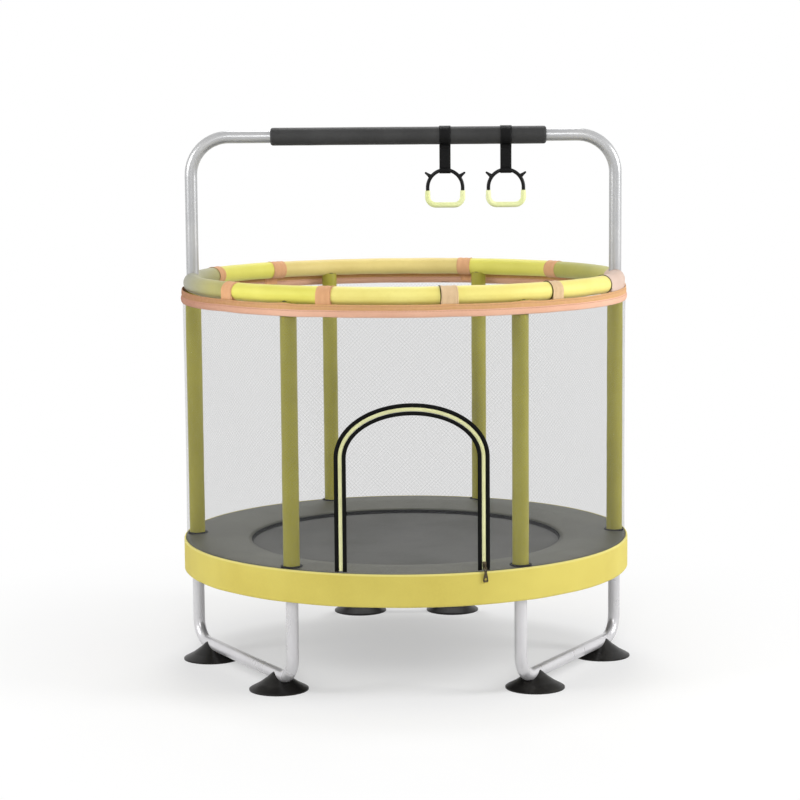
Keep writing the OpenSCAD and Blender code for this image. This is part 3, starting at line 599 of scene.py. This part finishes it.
def sleeve_profile(length, outer, bore, rounding, bores):
    """(along, radius) points of a foam tube: over its rounded outside and back through its bore.

    bores are (radius, depth) steps at its far end, the widest and shallowest first."""
    steps = max(2, ceil(length / 0.016))
    near = [(rounding * (1 - sin(t)), outer - rounding * (1 - cos(t))) for t in spaced(pi / 2, 0.0, 4)]
    far = [(length - along, radius) for along, radius in reversed(near)]
    run = [(along, outer) for along in spaced(rounding, length - rounding, steps)[1:-1]]
    wall = near + run + far
    end = length
    for radius, depth in bores:
        wall += [(end, radius), (length - depth, radius)]
        end = length - depth
    return wall + [(along, bore) for along in spaced(end, 0.0, steps)]


def foam_sleeve(name, place, length, outer, bore, rounding, around=40, dent=0.0005, bores=()):
    """A foam tube. place(along, radius, turn) gives a point; its length runs from 0."""
    points, weave = [], []
    for along, radius in sleeve_profile(length, outer, bore, rounding, bores):
        soft = dent * (radius - bore) / (outer - bore)
        for turn in spaced(0.0, tau, around):
            at = place(along, radius, turn)
            push = soft * (wobble(*at, 11.0) + 0.5 * wobble(*at, 34.0))
            points.append(place(along, radius + push, turn))
            weave.append((outer * (turn - pi), along))
    return add_rows(name, points, around + 1, weave, wrap=True, closed=False)


def post_sleeves():
    """The post foam, pushed up over the top fittings into the underside of the ring foam."""
    # How far under the ring's middle the foam ends, and the bores that take the fittings
    under_ring, fitting_r, side_fitting_r, play = 0.019, POST_R + 0.0038, 0.0206, 0.001
    for post in POSTS:
        node = "post_foam_" + post
        at, out = POST_AT[post], radians(POST_ANGLE[post])
        low, high = bottom(node), RING_Z - under_ring
        fitting_part = high - bottom("top_fittings") + play
        bores = [(fitting_r, fitting_part)]
        if post in SIDES:
            bores = [(side_fitting_r, fitting_part), (BAR_R + 0.0001, high - bottom("grab_bar") + play)]

        def place(along, radius, turn):
            return polar(radius, out + turn, low + along, at.x, at.y)

        piece = foam_sleeve("foam_sleeve_" + post, place, high - low, extent(node).x / 2,
                            POST_R + 0.0004, 0.0005, bores=bores)
        settle(piece, OLIVE_FOAM, nodes=[node])


def ring_foam():
    """Foam lengths round the top ring, each from the middle of one tie to the next."""
    half_gap = 0.002
    ends = [*TIE_ANGLES, TIE_ANGLES[0] + 360]
    for i, (first, last) in enumerate(zip(ends, ends[1:])):
        start = radians(first) + half_gap
        length = (radians(last - first) - 2 * half_gap) * POST_CIRCLE

        def place(along, radius, turn):
            drop = FOAM_DROP * (radius - RING_TUBE_R) / (RING_FOAM_R - RING_TUBE_R)
            return polar(POST_CIRCLE + radius * cos(turn), start + along / POST_CIRCLE,
                         RING_Z - drop - radius * sin(turn))

        piece = foam_sleeve("ring_foam_%d" % (i + 1), place, length, RING_FOAM_R,
                            RING_TUBE_R + 0.0003, 0.004, dent=0.0009)
        settle(piece, RING_SKINS.get(first, RING_FOAM), nodes=["top_ring_foam"])


def bar_grip():
    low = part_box("bar_grip")[0].x

    def place(along, radius, turn):
        return (low + along, radius * sin(turn), BAR_Z - radius * cos(turn))

    piece = foam_sleeve("soft_bar_grip", place, extent("bar_grip").x, GRIP_R, BAR_R + 0.0003, 0.007,
                        around=48, dent=0.0003)
    settle(piece, GRIP_FOAM, nodes=["bar_grip"])


def ring_grips():
    """The soft lower half of each hand ring: a U with a fuller, flattened bottom."""
    around, corner = 28, 0.022
    for side in SIDES:
        node = "ring_grip_" + side
        at, size = middle(node), extent(node)
        thick = size.y / 2
        half, drop = size.x / 2 - thick, size.z - thick - corner
        line = [(-half, z) for z in spaced(0.0, -drop, 6)[:-1]]
        line += [(-half + corner * (1 - cos(t)), -drop - corner * sin(t)) for t in spaced(0.0, pi / 2, 8)]
        line += [(x, -drop - corner) for x in spaced(corner - half, 0.0, 4)[1:]]
        line += [(-x, z) for x, z in reversed(line[:-1])]
        path = [Vector((at.x + x, at.y, top(node) + z)) for x, z in line]
        radii = [thick * (0.86 + 0.14 * sin(pi * i / (len(path) - 1)) ** 0.6) for i in range(len(path))]
        points = tube_points(path, radii, around, Vector((1, 0, 0)))
        piece = add_rows("soft_ring_grip_" + side, points, around, [(p.z, p.x) for p in points], capped=True)
        settle(piece, PALE_GRIP, side + "_hand_ring", [node])


def hoop_ears():
    """A full moulded ear over each side of the hoops: wide where it leaves the hoop, with a blunt tip."""
    around, lean, depth = 20, radians(37), 0.72
    # (along, half width) from the hoop to the tip. The ear's depth is a share of its width
    shape = [(0.0004, 0.0068), (0.004, 0.0059), (0.009, 0.0044), (0.014, 0.0035), (0.0185, 0.0030),
             (0.0200, 0.0022), (0.0204, 0.0008)]
    for side in SIDES:
        hoop, grip = "hand_ring_" + side, "ring_grip_" + side
        reach = (extent(grip).x - extent(grip).y) / 2
        centre = Vector((middle(hoop).x, 0, top(hoop) - extent(hoop).y / 2 - reach))
        points, faces = [], []
        for sign in (-1, 1):
            way = Vector((sign * cos(lean), 0, sin(lean)))
            across = Vector((-sign * sin(lean), 0, cos(lean)))
            faces += loft(len(shape), around, capped=True, start=len(points))
            for along, half in shape:
                points += [centre + way * (reach + along) + across * half * cos(turn)
                           - Vector((0, depth * sign * half * sin(turn), 0)) for turn in turns(around)]
        piece = add_mesh("hoop_ears_" + side, points, faces)
        settle(piece, HOOP_PLASTIC, side + "_hand_ring")


# ---------- mat, webbing, springs ----------

def jumping_mat():
    """The mat's woven disc, drawn tight, with the slightest sag in its middle."""
    around, steps, sag, edge = 144, 22, 0.0008, MAT_R - 0.0008
    points = [(0.0, 0.0, MAT_Z - sag)]
    for share in spaced(0.0, 1.0, steps)[1:]:
        z = MAT_Z - sag * (1 - share ** 2)
        points += [polar(edge * share, turn, z) for turn in turns(around)]
    faces = loft(steps, around, start=1, turned=True)
    faces += [(0, 1 + j, 1 + (j + 1) % around) for j in range(around)]
    piece = add_mesh("woven_mat", points, faces, [(x, y) for x, y, z in points])
    settle(piece, MAT_FABRIC, "mat", ["jumping_mat"], solid=0.0018)


def mat_webbing():
    """Webbing folded over the mat's edge and sewn."""
    thick, wide, skin = 0.0011, 0.022, 0.0010
    inner, outer = MAT_R - wide, MAT_R + 0.0012
    upper, lower = MAT_Z + skin, MAT_Z - skin
    profile = [(inner, upper), (MAT_R, upper), (outer, MAT_Z), (MAT_R, lower), (inner, lower),
               (inner, lower - thick), (MAT_R, lower - thick), (outer + thick * 0.8, MAT_Z),
               (MAT_R, upper + thick), (inner, upper + thick)]
    piece = revolve("mat_edge_webbing", profile, 216)
    settle(piece, BLACK_WEBBING, "mat", ["mat_webbing"])


def mat_loops():
    """A loop of webbing over the mat's edge for every link."""
    wide, high, steps = 0.018, 0.0032, 3
    tail, bar_r = MAT_R - 0.012, MAT_R + 0.008
    strip = [(tail, MAT_Z + high), (bar_r - 0.002, MAT_Z + high)]
    strip += [(bar_r + high * cos(t), MAT_Z + high * sin(t)) for t in spaced(pi / 2, -pi / 2, 6)]
    strip += [(bar_r - 0.002, MAT_Z - high), (tail, MAT_Z - high)]
    run = run_lengths(strip)
    points, faces, weave = [], [], []
    for angle in LINK_ANGLES:
        out, along = Vector((cos(angle), sin(angle), 0)), Vector((-sin(angle), cos(angle), 0))
        faces += loft(steps + 1, len(strip), closed=False, start=len(points))
        for shift in spaced(-wide / 2, wide / 2, steps):
            points += [out * r + along * shift + Vector((0, 0, z)) for r, z in strip]
            weave += [(shift, length) for length in run]
    piece = add_mesh("mat_loops", points, faces, weave)
    settle(piece, BLACK_WEBBING, "mat", ["mat_webbing"], solid=0.0010)


def spring_path(eye_at, eye_r, hook_at, coil_r):
    """One spring along X: its eye, its coil, which opens and closes over a turn, and its hook."""
    coil_in, coil_out, pitch = 0.478, 0.545, 0.0031
    per_turn, ease_steps = 9, 10
    count = int((coil_out - coil_in) / pitch) * per_turn
    path = [Vector((eye_at + eye_r * cos(t), 0, eye_r * sin(t))) for t in spaced(0.35, tau, 14)]
    path.append(Vector((coil_in - 0.004, 0, 0)))
    for k in range(count + 1):
        t = tau * k / per_turn
        reach = coil_r * min(1.0, k / ease_steps, (count - k) / ease_steps)
        path.append(Vector((coil_in + (coil_out - coil_in) * k / count, reach * sin(t), reach * cos(t))))
    return path + [Vector((x, 0, z)) for x, z in (
        (coil_out + 0.006, 0), (hook_at - 0.003, 0), (hook_at - 0.0008, -0.0010),
        (hook_at, -0.003), (hook_at, -0.008))]


def springs():
    """A real helix for each spring, with an eye on the link and a hook in the frame ring."""
    wire, around = 0.0011, 6
    eye_at, eye_r, hook_at = 0.466, 0.0046, 0.566
    path = spring_path(eye_at, eye_r, hook_at, 0.006 - wire)
    tube = tube_points(path, [wire] * len(path), around, Vector((0, 0, 1)))
    for i, angle in enumerate(LINK_ANGLES):
        turn = Matrix.Rotation(angle, 3, "Z")
        points = [turn @ p + Vector((0, 0, MAT_Z)) for p in tube]
        piece = add_rows("spring_%02d" % (i + 1), points, around, capped=True)
        settle(piece, ZINC, None, ["springs"])
        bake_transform(piece)


# ---------- pad and skirt ----------

def puff(piece, pinned, pressure, frames, cap):
    """Blows the piece up as sewn cloth, with the pinned points held and each point's travel capped."""
    group = piece.vertex_groups.new(name="sewn")
    group.add(pinned, 1.0, "REPLACE")
    sim = piece.modifiers.new("cloth", "CLOTH")
    for key, value in {"quality": 6, "mass": 0.25, "tension_stiffness": 20, "compression_stiffness": 20,
                       "bending_stiffness": 0.6, "use_pressure": True,
                       "uniform_pressure_force": pressure, "vertex_group_mass": "sewn"}.items():
        setattr(sim.settings, key, value)
    sim.settings.effector_weights.gravity = 0.0
    sim.collision_settings.use_collision = False
    sim.point_cache.frame_start, sim.point_cache.frame_end = 1, frames
    for number in range(1, frames + 1):
        bpy.context.scene.frame_set(number)
    shaped = piece.evaluated_get(bpy.context.evaluated_depsgraph_get())
    count = len(piece.data.vertices) * 3
    before, after = np.zeros(count, np.float32), np.zeros(count, np.float32)
    piece.data.vertices.foreach_get("co", before)
    shaped.data.vertices.foreach_get("co", after)
    piece.modifiers.remove(sim)
    piece.vertex_groups.remove(group)
    bpy.context.scene.frame_set(1)
    travel = (after - before).reshape(-1, 3)
    length = np.linalg.norm(travel, axis=1, keepdims=True)
    travel *= np.minimum(1.0, cap / np.maximum(length, 1e-9))
    piece.data.vertices.foreach_set("co", (before.reshape(-1, 3) + travel).ravel())
    piece.data.update()


def cut_post_holes(piece, radius):
    for post in POSTS:
        bpy.ops.mesh.primitive_cylinder_add(vertices=48, radius=radius, depth=0.08,
                                            location=(POST_AT[post].x, POST_AT[post].y, PAD_TOP))
        cutter = bpy.context.object
        cut = piece.modifiers.new("post_hole", "BOOLEAN")
        cut.object, cut.operation, cut.solver = cutter, "DIFFERENCE", "EXACT"
        shaped = piece.evaluated_get(bpy.context.evaluated_depsgraph_get())
        holed = bpy.data.meshes.new_from_object(shaped)
        piece.modifiers.clear()
        piece.data = holed
        bpy.data.objects.remove(cutter)


def spring_pad():
    """The padded ring: two covers sewn at both edges, blown up, then holed for the posts."""
    around, across = 240, 16
    # The seams lie inside the bead and under the skirt's fold. The flat covers leave room to swell
    inside_bead, under_fold = 0.0072, 0.0042
    inner, outer = extent("pad_piping").x / 2 - inside_bead, SKIRT_R - under_fold
    inner_seam, outer_seam = PAD_BOTTOM - 0.0004, PAD_TOP - 0.0035
    upper, lower = PAD_TOP - 0.0030, PAD_BOTTOM + 0.002
    points, pinned, weave = [], [], []
    for angle in turns(around):
        slack = 0.0006 * round_wobble(angle, 0.0, 9.0)
        for j in range(2 * across):
            share = min(j, 2 * across - j) / across
            r = inner + (outer - inner) * share
            full = sin(pi * share) ** 0.5 if 0 < share < 1 else 0.0
            seam = inner_seam + (outer_seam - inner_seam) * share
            cover = upper if j <= across else lower
            if j in (0, across):
                pinned.append(len(points))
            points.append(polar(r + slack, angle, seam + (cover - seam) * full))
            weave.append((outer * angle, r - inner))
    piece = add_rows("padded_ring", points, 2 * across, weave, wrap=True)
    puff(piece, pinned, pressure=1.5, frames=14, cap=0.0032)
    cut_post_holes(piece, POST_FOAM_R + 0.0006)
    settle(piece, PAD_COVER, nodes=["spring_pad"])


def inner_bead():
    """The bound edge that hangs from the pad's inner seam to the mat."""
    bead_r = extent("pad_piping").z / 2
    big_r = extent("pad_piping").x / 2 - bead_r
    low, high = top("mat_webbing") + 0.0006, PAD_BOTTOM + 0.0002
    profile = [(big_r + bead_r * cos(t), (low + high) / 2 + (high - low) / 2 * sin(t)) for t in turns(14)]

    def ripple(angle, r, z):
        shift = 0.0007 * round_wobble(angle, 0.0, 12.0)
        return (shift, 0.3 * shift)

    piece = revolve("inner_bead", profile, 360, ripple)
    settle(piece, BLACK_BINDING, nodes=["pad_piping"])


def post_hole_bindings():
    """A bound edge round every post hole of the pad."""
    around, inner = 64, POST_FOAM_R + 0.0005
    outer = inner + 0.0063
    shape = [(inner, -0.002), (outer, -0.002), (outer + 0.0004, 0.0008),
             (outer - 0.0008, 0.0020), (inner + 0.001, 0.0026), (inner, 0.0020)]
    points, faces, weave = [], [], []
    for at in POST_AT.values():
        faces += loft(around, len(shape), wrap=True, start=len(points), turned=True)
        for angle in turns(around):
            for r, z in shape:
                x, y, high = polar(r, angle, PAD_TOP + z + 0.0003 * sin(5 * angle), at.x, at.y)
                inward = min(1.0, (NET_R - 0.0018) / hypot(x, y))
                points.append((x * inward, y * inward, high))
                weave.append((r * angle, z))
    piece = add_mesh("post_hole_bindings", points, faces, weave)
    settle(piece, BLACK_BINDING, nodes=["post_collars"])


def skirt():
    """The skirt: fabric folded over the pad's edge, hanging in shallow folds to a turned-up hem."""
    low, thick = bottom("skirt"), 0.0012
    # (radius, z) from the fold over the pad down to the hem
    face = [(SKIRT_R - back, PAD_TOP - down) for back, down in (
        (0.0052, 0.0032), (0.0036, 0.0024), (0.0018, 0.0028), (0.0004, 0.0046))]
    face += [(SKIRT_R, z) for z in spaced(PAD_TOP - 0.006, low + 0.0015, 14)]
    face += [(SKIRT_R - 0.0012, low), (SKIRT_R - 0.0030, low + 0.0004)]
    lining = [(r - thick, z + (0.0006 if z < low + 0.002 else 0.0)) for r, z in reversed(face[2:-1])]

    def folds(angle, r, z):
        hang = max(0.0, min(1.0, (PAD_TOP - z) / (PAD_TOP - low)))
        soft = round_wobble(angle, z * 0.3, 5.0) + 0.6 * round_wobble(angle, z, 14.0)
        return (0.0022 * hang * (1.2 - hang) * soft, 0.0008 * hang * round_wobble(angle, 0.0, 6.0))

    piece = revolve("hanging_skirt", face + lining, 480, folds)
    piece.data.flip_normals()
    settle(piece, SKIRT_FABRIC, nodes=["skirt"])


# ---------- ties and hem band ----------

def ring_ties():
    """A strip of fabric round the foam at each tie, its two ends sewn behind the hem band."""
    wrap_r, steps = RING_FOAM_R + 0.0006, 36
    # (out, up) from the tube's middle: up behind the band, round the foam and down again
    sewn = BAND_LOW + 0.008 - RING_Z
    path = [(0.0238, up) for up in spaced(sewn, sewn + 0.016, 3)]
    path += [(wrap_r * cos(t), wrap_r * sin(t) - FOAM_DROP)
             for t in spaced(radians(-14), radians(332), steps)]
    path += [(0.0226, -0.0165), (0.0232, -0.0260)]
    run = run_lengths(path)
    for number, angle in enumerate(TIE_ANGLES):
        width, across, cover = TIE_W * (1 + 0.09 * sin(number * 2.4)), 10, PALE_TIES.get(angle, SALMON)
        if angle == 0:
            angle, width, across = WRAP_ANGLE, WRAP_W, 52
        points, weave = [], []
        for shift in spaced(-width / 2, width / 2, across):
            edge = abs(shift) / width * 2
            gather = 0.0011 * sin(tau * (shift * 60 + number * 0.3)) * (0.4 + 0.6 * edge)
            lift = 1 + (gather + 0.0004 * edge ** 4) / wrap_r
            for (out, up), along in zip(path, run):
                lean = 0.0016 * sin(3.1 * number + 9 * along)
                r = POST_CIRCLE + out * lift
                points.append(polar(r, radians(angle) + (shift + lean * edge) / r, RING_Z + up * lift))
                weave.append((along, shift))
        piece = add_rows("ring_tie_%d" % (number + 1), points, len(path), weave, closed=False)
        settle(piece, cover, nodes=["ring_ties"], solid=0.0010, smooth=1)
        if cover is not SALMON:
            tie_binding(number, radians(angle) - width / 2 / POST_CIRCLE - 0.001, wrap_r + 0.0008)


def tie_binding(number, angle, reach):
    """Thin black piping round the foam at a pale tie's left edge."""
    thick, around, sides = 0.0009, 40, 8
    points = []
    for turn in turns(around):
        for side in turns(sides):
            out = reach + thick * cos(side)
            points.append(polar(POST_CIRCLE + out * cos(turn), angle + thick * sin(side) / POST_CIRCLE,
                                RING_Z - FOAM_DROP + out * sin(turn)))
    piece = add_rows("tie_binding_%d" % (number + 1), points, sides, wrap=True)
    settle(piece, BLACK_BINDING)


def hem_band():
    """The band on the net's top edge: a soft folded hem below a flat strip with a row of stitches."""
    top_wave, fold_high = 0.004, 0.0185
    low, high = BAND_LOW, BAND_HIGH - top_wave
    line, inside = low + fold_high, NET_R - 0.0008
    # (radius, z) from the lower edge over the fold to the row of stitches, then up the flat strip
    profile = [(inside, low + 0.0005), (NET_R + 0.0022, low)]
    profile += [(NET_R + 0.0020 + 0.0026 * sin(pi * share) ** 0.7, low + (line - low) * share)
                for share in spaced(0.0, 1.0, 8)[1:-1]]
    profile += [(NET_R + 0.0016, line), (NET_R + 0.0028, line + 0.0016)]
    profile += [(NET_R + 0.0028 - 0.0002 * k, line + 0.0016 + (high - line - 0.0026) * k / 4)
                for k in range(1, 4)]
    profile += [(NET_R + 0.0018, high - 0.0006), (NET_R + 0.0006, high), (inside, high - 0.001)]

    def drape(angle, r, z):
        tie = min(apart(degrees(angle), at) for at in TIE_ANGLES)
        up = 0.0016 * round_wobble(angle, 0.0, 4.0) + 0.0012 * max(0.0, 1 - tie / 6)
        if z > line:
            up += 0.0034 * max(0.0, abs(cos(angle)) - 0.8) / 0.2
            up += 0.0024 * max(0.0, 1 - from_posts(degrees(angle)) / 4)
        return (0.0010 * round_wobble(angle, z * 2, 7.0), up)

    piece = revolve("net_hem_band", profile, 480, drape)
    settle(piece, BAND_FABRIC, nodes=["hem_band"])


# ---------- net and door ----------

FRONT_BAY_HALF = apart(POST_ANGLE["front_right"], -90) + 0.01
# How far the net hangs in, how many degrees from a post it is at its full depth, and its ripple
NET_HOLLOW, HOLLOW_FROM, NET_RIPPLE = 0.0035, 14.0, 0.0009


def wall_point(angle, z, reach=0.0):
    """A point of the net's wall: it hangs a little hollow between the posts and ripples near its hems.

    The stiff zip keeps the front bay even, so that its slider runs along it."""
    loose = 0.0 if apart(angle, -90) < FRONT_BAY_HALF else 1.0
    share = (z - NET_LOW) / (NET_HIGH - NET_LOW)
    hollow = -NET_HOLLOW * sin(pi * share) * min(1.0, from_posts(angle) / HOLLOW_FROM)
    a = radians(angle)
    ripple = NET_RIPPLE * round_wobble(a, z * 0.4, 16.0) * (abs(2 * share - 1) ** 3 + 0.25)
    return polar(NET_R + (hollow + ripple) * loose + reach, a, z)


def net_piece(name, places, around, body, node, turned=False):
    """A piece of the net through rows of (angle, z) places on its wall."""
    points = [wall_point(angle, z) for angle, z in places]
    weave = [(radians(angle) * NET_R, z) for angle, z in places]
    piece = add_rows(name, points, around, weave, closed=False, turned=turned)
    settle(piece, NET, body, [node])
    return piece


def net_bay(name, node, first, last):
    column_angle, rows = 1.5, 40
    columns = round((last - first) / column_angle)
    places = [(angle, z) for angle in spaced(first, last, columns)
              for z in spaced(SHEET_LOW, SHEET_HIGH, rows)]
    piece = net_piece(name, places, rows + 1, "frame", node)


def net_bays():
    for bay, first, last in (("left", "left", "front_left"), ("right", "front_right", "right"),
                             ("rear_right", "right", "rear_right"),
                             ("rear", "rear_right", "rear_left"), ("rear_left", "rear_left", "left")):
        start, end = POST_ANGLE[first], POST_ANGLE[last]
        net_bay("net_sheet_" + bay, "net_" + bay, start, end if end > start else end + 360)


def outline(offset, low, straight=SIDE_STEPS, curved=48):
    """(x, z) points of the zip's centre line moved out by offset, from the left foot to the right."""
    a, b = DOOR_HALF + offset, DOOR_RISE + offset
    rise = [(-a, z) for z in spaced(low, DOOR_SPRING_Z, straight)[:-1]]
    arch = [(-a * cos(t), DOOR_SPRING_Z + b * sin(t)) for t in spaced(0.0, pi, curved)]
    fall = [(-x, z) for x, z in reversed(rise)]
    return [(DOOR_X + x, z) for x, z in rise + arch + fall]


def front_angle(x):
    return -90 + degrees(np.arcsin(x / NET_R))


def front_net():
    """The front bay: rows of points spread from the zip's outer tape to the bay's edges."""
    first, last = POST_ANGLE["front_left"] - 360, POST_ANGLE["front_right"] - 360
    inner, steps = outline(CHAIN_HALF + TAPE_W - 0.001, SHEET_LOW), 14
    high, climb, across = SHEET_HIGH - SHEET_LOW, SHEET_HIGH - DOOR_SPRING_Z, radians(last - first) * NET_R
    arch_steps = len(inner) - 1 - 2 * SIDE_STEPS
    places = []
    for i, (x, z) in enumerate(inner):
        if i < SIDE_STEPS:
            far = (first, z)
        elif i >= len(inner) - SIDE_STEPS:
            far = (last, z)
        else:
            at = (i - SIDE_STEPS) / arch_steps * (2 * climb + across)
            far = (first + degrees(min(max(at - climb, 0.0), across) / NET_R),
                   min(DOOR_SPRING_Z + at, SHEET_HIGH, SHEET_HIGH - (at - climb - across)))
        places += zip(spaced(front_angle(x), far[0], steps), spaced(z, far[1], steps))
    piece = net_piece("front_net_sheet", places, steps + 1, "frame", "net_front", turned=True)


def hinge_door(piece, low):
    """Bakes a piece of the door's placement into its mesh."""
    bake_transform(piece)


def door_panel():
    """The door's net, rows from side to side under the arch."""
    low, inset, columns = NET_LOW + 0.0005, CHAIN_HALF + 0.0004, 32
    half, rise = DOOR_HALF - inset, DOOR_RISE - inset
    heights = spaced(low, DOOR_SPRING_Z, 26)[:-1]
    heights += [DOOR_SPRING_Z + rise * sin(t) for t in spaced(0.0, pi / 2, 20)]
    places = []
    for z in heights:
        up = max(0.0, (z - DOOR_SPRING_Z) / rise)
        wide = half * sqrt(max(0.0, 1 - up * up))
        places += [(front_angle(x), z) for x in spaced(DOOR_X - wide, DOOR_X + wide, columns)]
    piece = net_piece("door_net_sheet", places, columns + 1, None, "door_net")
    hinge_door(piece, low)


def zip_strip(name, near, far, low, thick, lift):
    """A tape along the zip between two offsets from its centre line, as a thin closed strip."""
    inner, outer = outline(near, low), outline(far, low)
    section = ((0, lift), (0.5, lift + 0.0002), (1, lift),
               (1, lift + thick), (0.5, lift + thick + 0.0003), (0, lift + thick))
    points, weave = [], []
    for a, b, along in zip(inner, outer, run_lengths(inner)):
        for share, depth in section:
            x, z = a[0] + (b[0] - a[0]) * share, a[1] + (b[1] - a[1]) * share
            points.append(wall_point(front_angle(x), z, depth))
            weave.append((along, share * abs(far - near)))
    piece = add_rows(name, points, len(section), weave, capped=True)
    if far < near:
        piece.data.flip_normals()
    return piece


def zip_teeth():
    """Two rows of moulded teeth that mesh along the zip's centre line."""
    line = outline(0.0, bottom("zip_chain"), straight=40, curved=140)
    run = run_lengths(line)
    pitch, long, wide, high, seat = 0.0026, 0.0030, 0.0017, 0.0011, 0.0012
    levels = ((seat, 1.0), (seat + high * 0.7, 1.0), (seat + high, 0.6))
    corners = ((-0.0007, -0.7), (-0.0007, 0.7), (long, 1.0), (long, -1.0))
    points, faces = [], []
    for i in range(2 * int(run[-1] / pitch)):
        row = 1 if i % 2 else -1
        at = i / 2 * pitch + 0.001
        k = min(bisect_left(run, at, 1) - 1, len(run) - 2)
        a, b = Vector(line[k]), Vector(line[k + 1])
        spot, along = a.lerp(b, (at - run[k]) / (run[k + 1] - run[k])), (b - a).normalized()
        off = Vector((along.y, -along.x)) * row
        faces += loft(len(levels), len(corners), capped=True, start=len(points), turned=row < 0)
        for depth, grow in levels:
            for out, side in corners:
                flat = spot + off * (long / 2 + (out - long / 2) * grow) + along * side * wide / 2 * grow
                points.append(wall_point(front_angle(flat.x), flat.y, depth))
    return add_mesh("zip_tooth_rows", points, faces)


def zip_fastener():
    """The fixed tape, the door's tape, the two pale chain tapes and their teeth."""
    thick, lift, gap = 0.0012, 0.0012, 0.0004
    outer = zip_strip("outer_zip_tape", CHAIN_HALF, CHAIN_HALF + TAPE_W, bottom("zip_outer_tape"),
                      thick, lift)
    settle(outer, ZIP_TAPE, nodes=["zip_outer_tape"])
    low = bottom("zip_door_tape")
    inner = zip_strip("door_zip_tape", -CHAIN_HALF - gap, -CHAIN_HALF - gap - TAPE_W, low, thick, lift)
    settle(inner, ZIP_TAPE, None, ["zip_door_tape"])
    hinge_door(inner, low)
    for row, sign in (("outer", 1), ("inner", -1)):
        tape = zip_strip("chain_tape_" + row, sign * 0.0009, sign * CHAIN_HALF,
                         bottom("zip_chain"), 0.0010, 0.0003)
        settle(tape, ZIP_TEETH, nodes=["zip_chain"])
    settle(zip_teeth(), ZIP_TEETH, nodes=["zip_chain"])


# ---------- straps ----------

def arc(r, z, first, span, steps):
    """(y, z) points of an arc about (0, z), with its angles in degrees."""
    return [(r * cos(t), z + r * sin(t)) for t in spaced(radians(first), radians(first + span), steps)]


def straps():
    """Webbing sewn in a loop round the grip, both layers down to a small loop round the hoop."""
    thick, small, across = 0.0017, 0.0076, 6
    big, layer = GRIP_R + 0.0006 + thick / 2, thick * 0.55
    neck = BAR_Z - big
    for side in SIDES:
        node = "strap_" + side
        at, wide = middle(node).x, extent(node).x
        low = bottom(node) + 0.009
        down = [(layer + 0.004, neck - 0.004), (layer, neck - 0.010)]
        down += [(layer, z) for z in spaced(neck - 0.012, low + small + 0.004, 6)]
        path = arc(big, BAR_Z, -78, 336, 32) + [(-y, z) for y, z in down]
        path += arc(small, low, 104, 332, 14) + down[::-1]
        run = run_lengths(path)
        half, points, weave = (wide - 0.0006) / 2, [], []
        for shift in spaced(-half, half, across):
            points += [(at + shift, y, z) for y, z in path]
            weave += [(along, shift) for along in run]
        piece = add_rows("webbing_strap_" + side, points, len(path), weave)
        settle(piece, STRAP_WEBBING, side + "_strap", [node], solid=thick)


# ---------- stage ----------

def lamp(name, place, aim, size, watts):
    """A round soft lamp that looks at a point."""
    light = bpy.data.lights.new(name, "AREA")
    light.shape, light.size, light.energy = "DISK", size, watts
    holder = add_object(name, light)
    holder.location = place
    holder.rotation_euler = (Vector(aim) - Vector(place)).to_track_quat("-Z", "Y").to_euler()


def stage():
    bpy.context.scene.view_settings.view_transform = "Standard"
    # The room looks white and lights the object less
    light, look = 0.43, 1.0
    room = Graph("studio", "worlds", "Background")
    strength = room.ramp(room.seen(), 0, 1, light, look)
    bpy.context.scene.world = room.set(Color=(1, 1, 1, 1), Strength=strength)
    floor = add_mesh("floor", [(-9, -9, 0), (9, -9, 0), (9, 9, 0), (-9, 9, 0)], [(0, 1, 2, 3)])
    floor.data.materials.append(floor_paint())
    lamp("overhead", (0, 3.6, 5.4), (0, 0, 0.3), 2.4, 108)
    lamp("front", (0, -5.2, 3.0), (0, 0, 0.6), 1.2, 60)
    lamp("left", (-4.2, -1.8, 2.4), (0, 0, 0.7), 2.0, 92)
    lamp("right", (4.4, -1.1, 2.4), (0, 0, 0.7), 2.0, 140)


def camera():
    """The photograph's view: from 6.3 m in front of the middle, a little higher than the grab bar."""
    lens = bpy.data.cameras.new("view")
    lens.lens, lens.sensor_width = 104.0, 36.0
    eye = add_object("view", lens)
    pitch, yaw, roll = -0.1229, 0.0021, -0.008
    eye.location = (0.0, -6.3, 1.481)
    turn = Matrix.Rotation(yaw, 3, "Z") @ Matrix.Rotation(pi / 2 + pitch, 3, "X") \
        @ Matrix.Rotation(roll, 3, "Z")
    eye.rotation_euler = turn.to_euler()
    bpy.context.scene.camera = eye


for make in (camera, dress_cad_nodes, post_sleeves, ring_foam, bar_grip, ring_grips, hoop_ears,
             jumping_mat, mat_webbing, mat_loops, springs, spring_pad, inner_bead, post_hole_bindings,
             skirt, ring_ties, hem_band, net_bays, front_net, door_panel, zip_fastener, straps, stage):
    make()
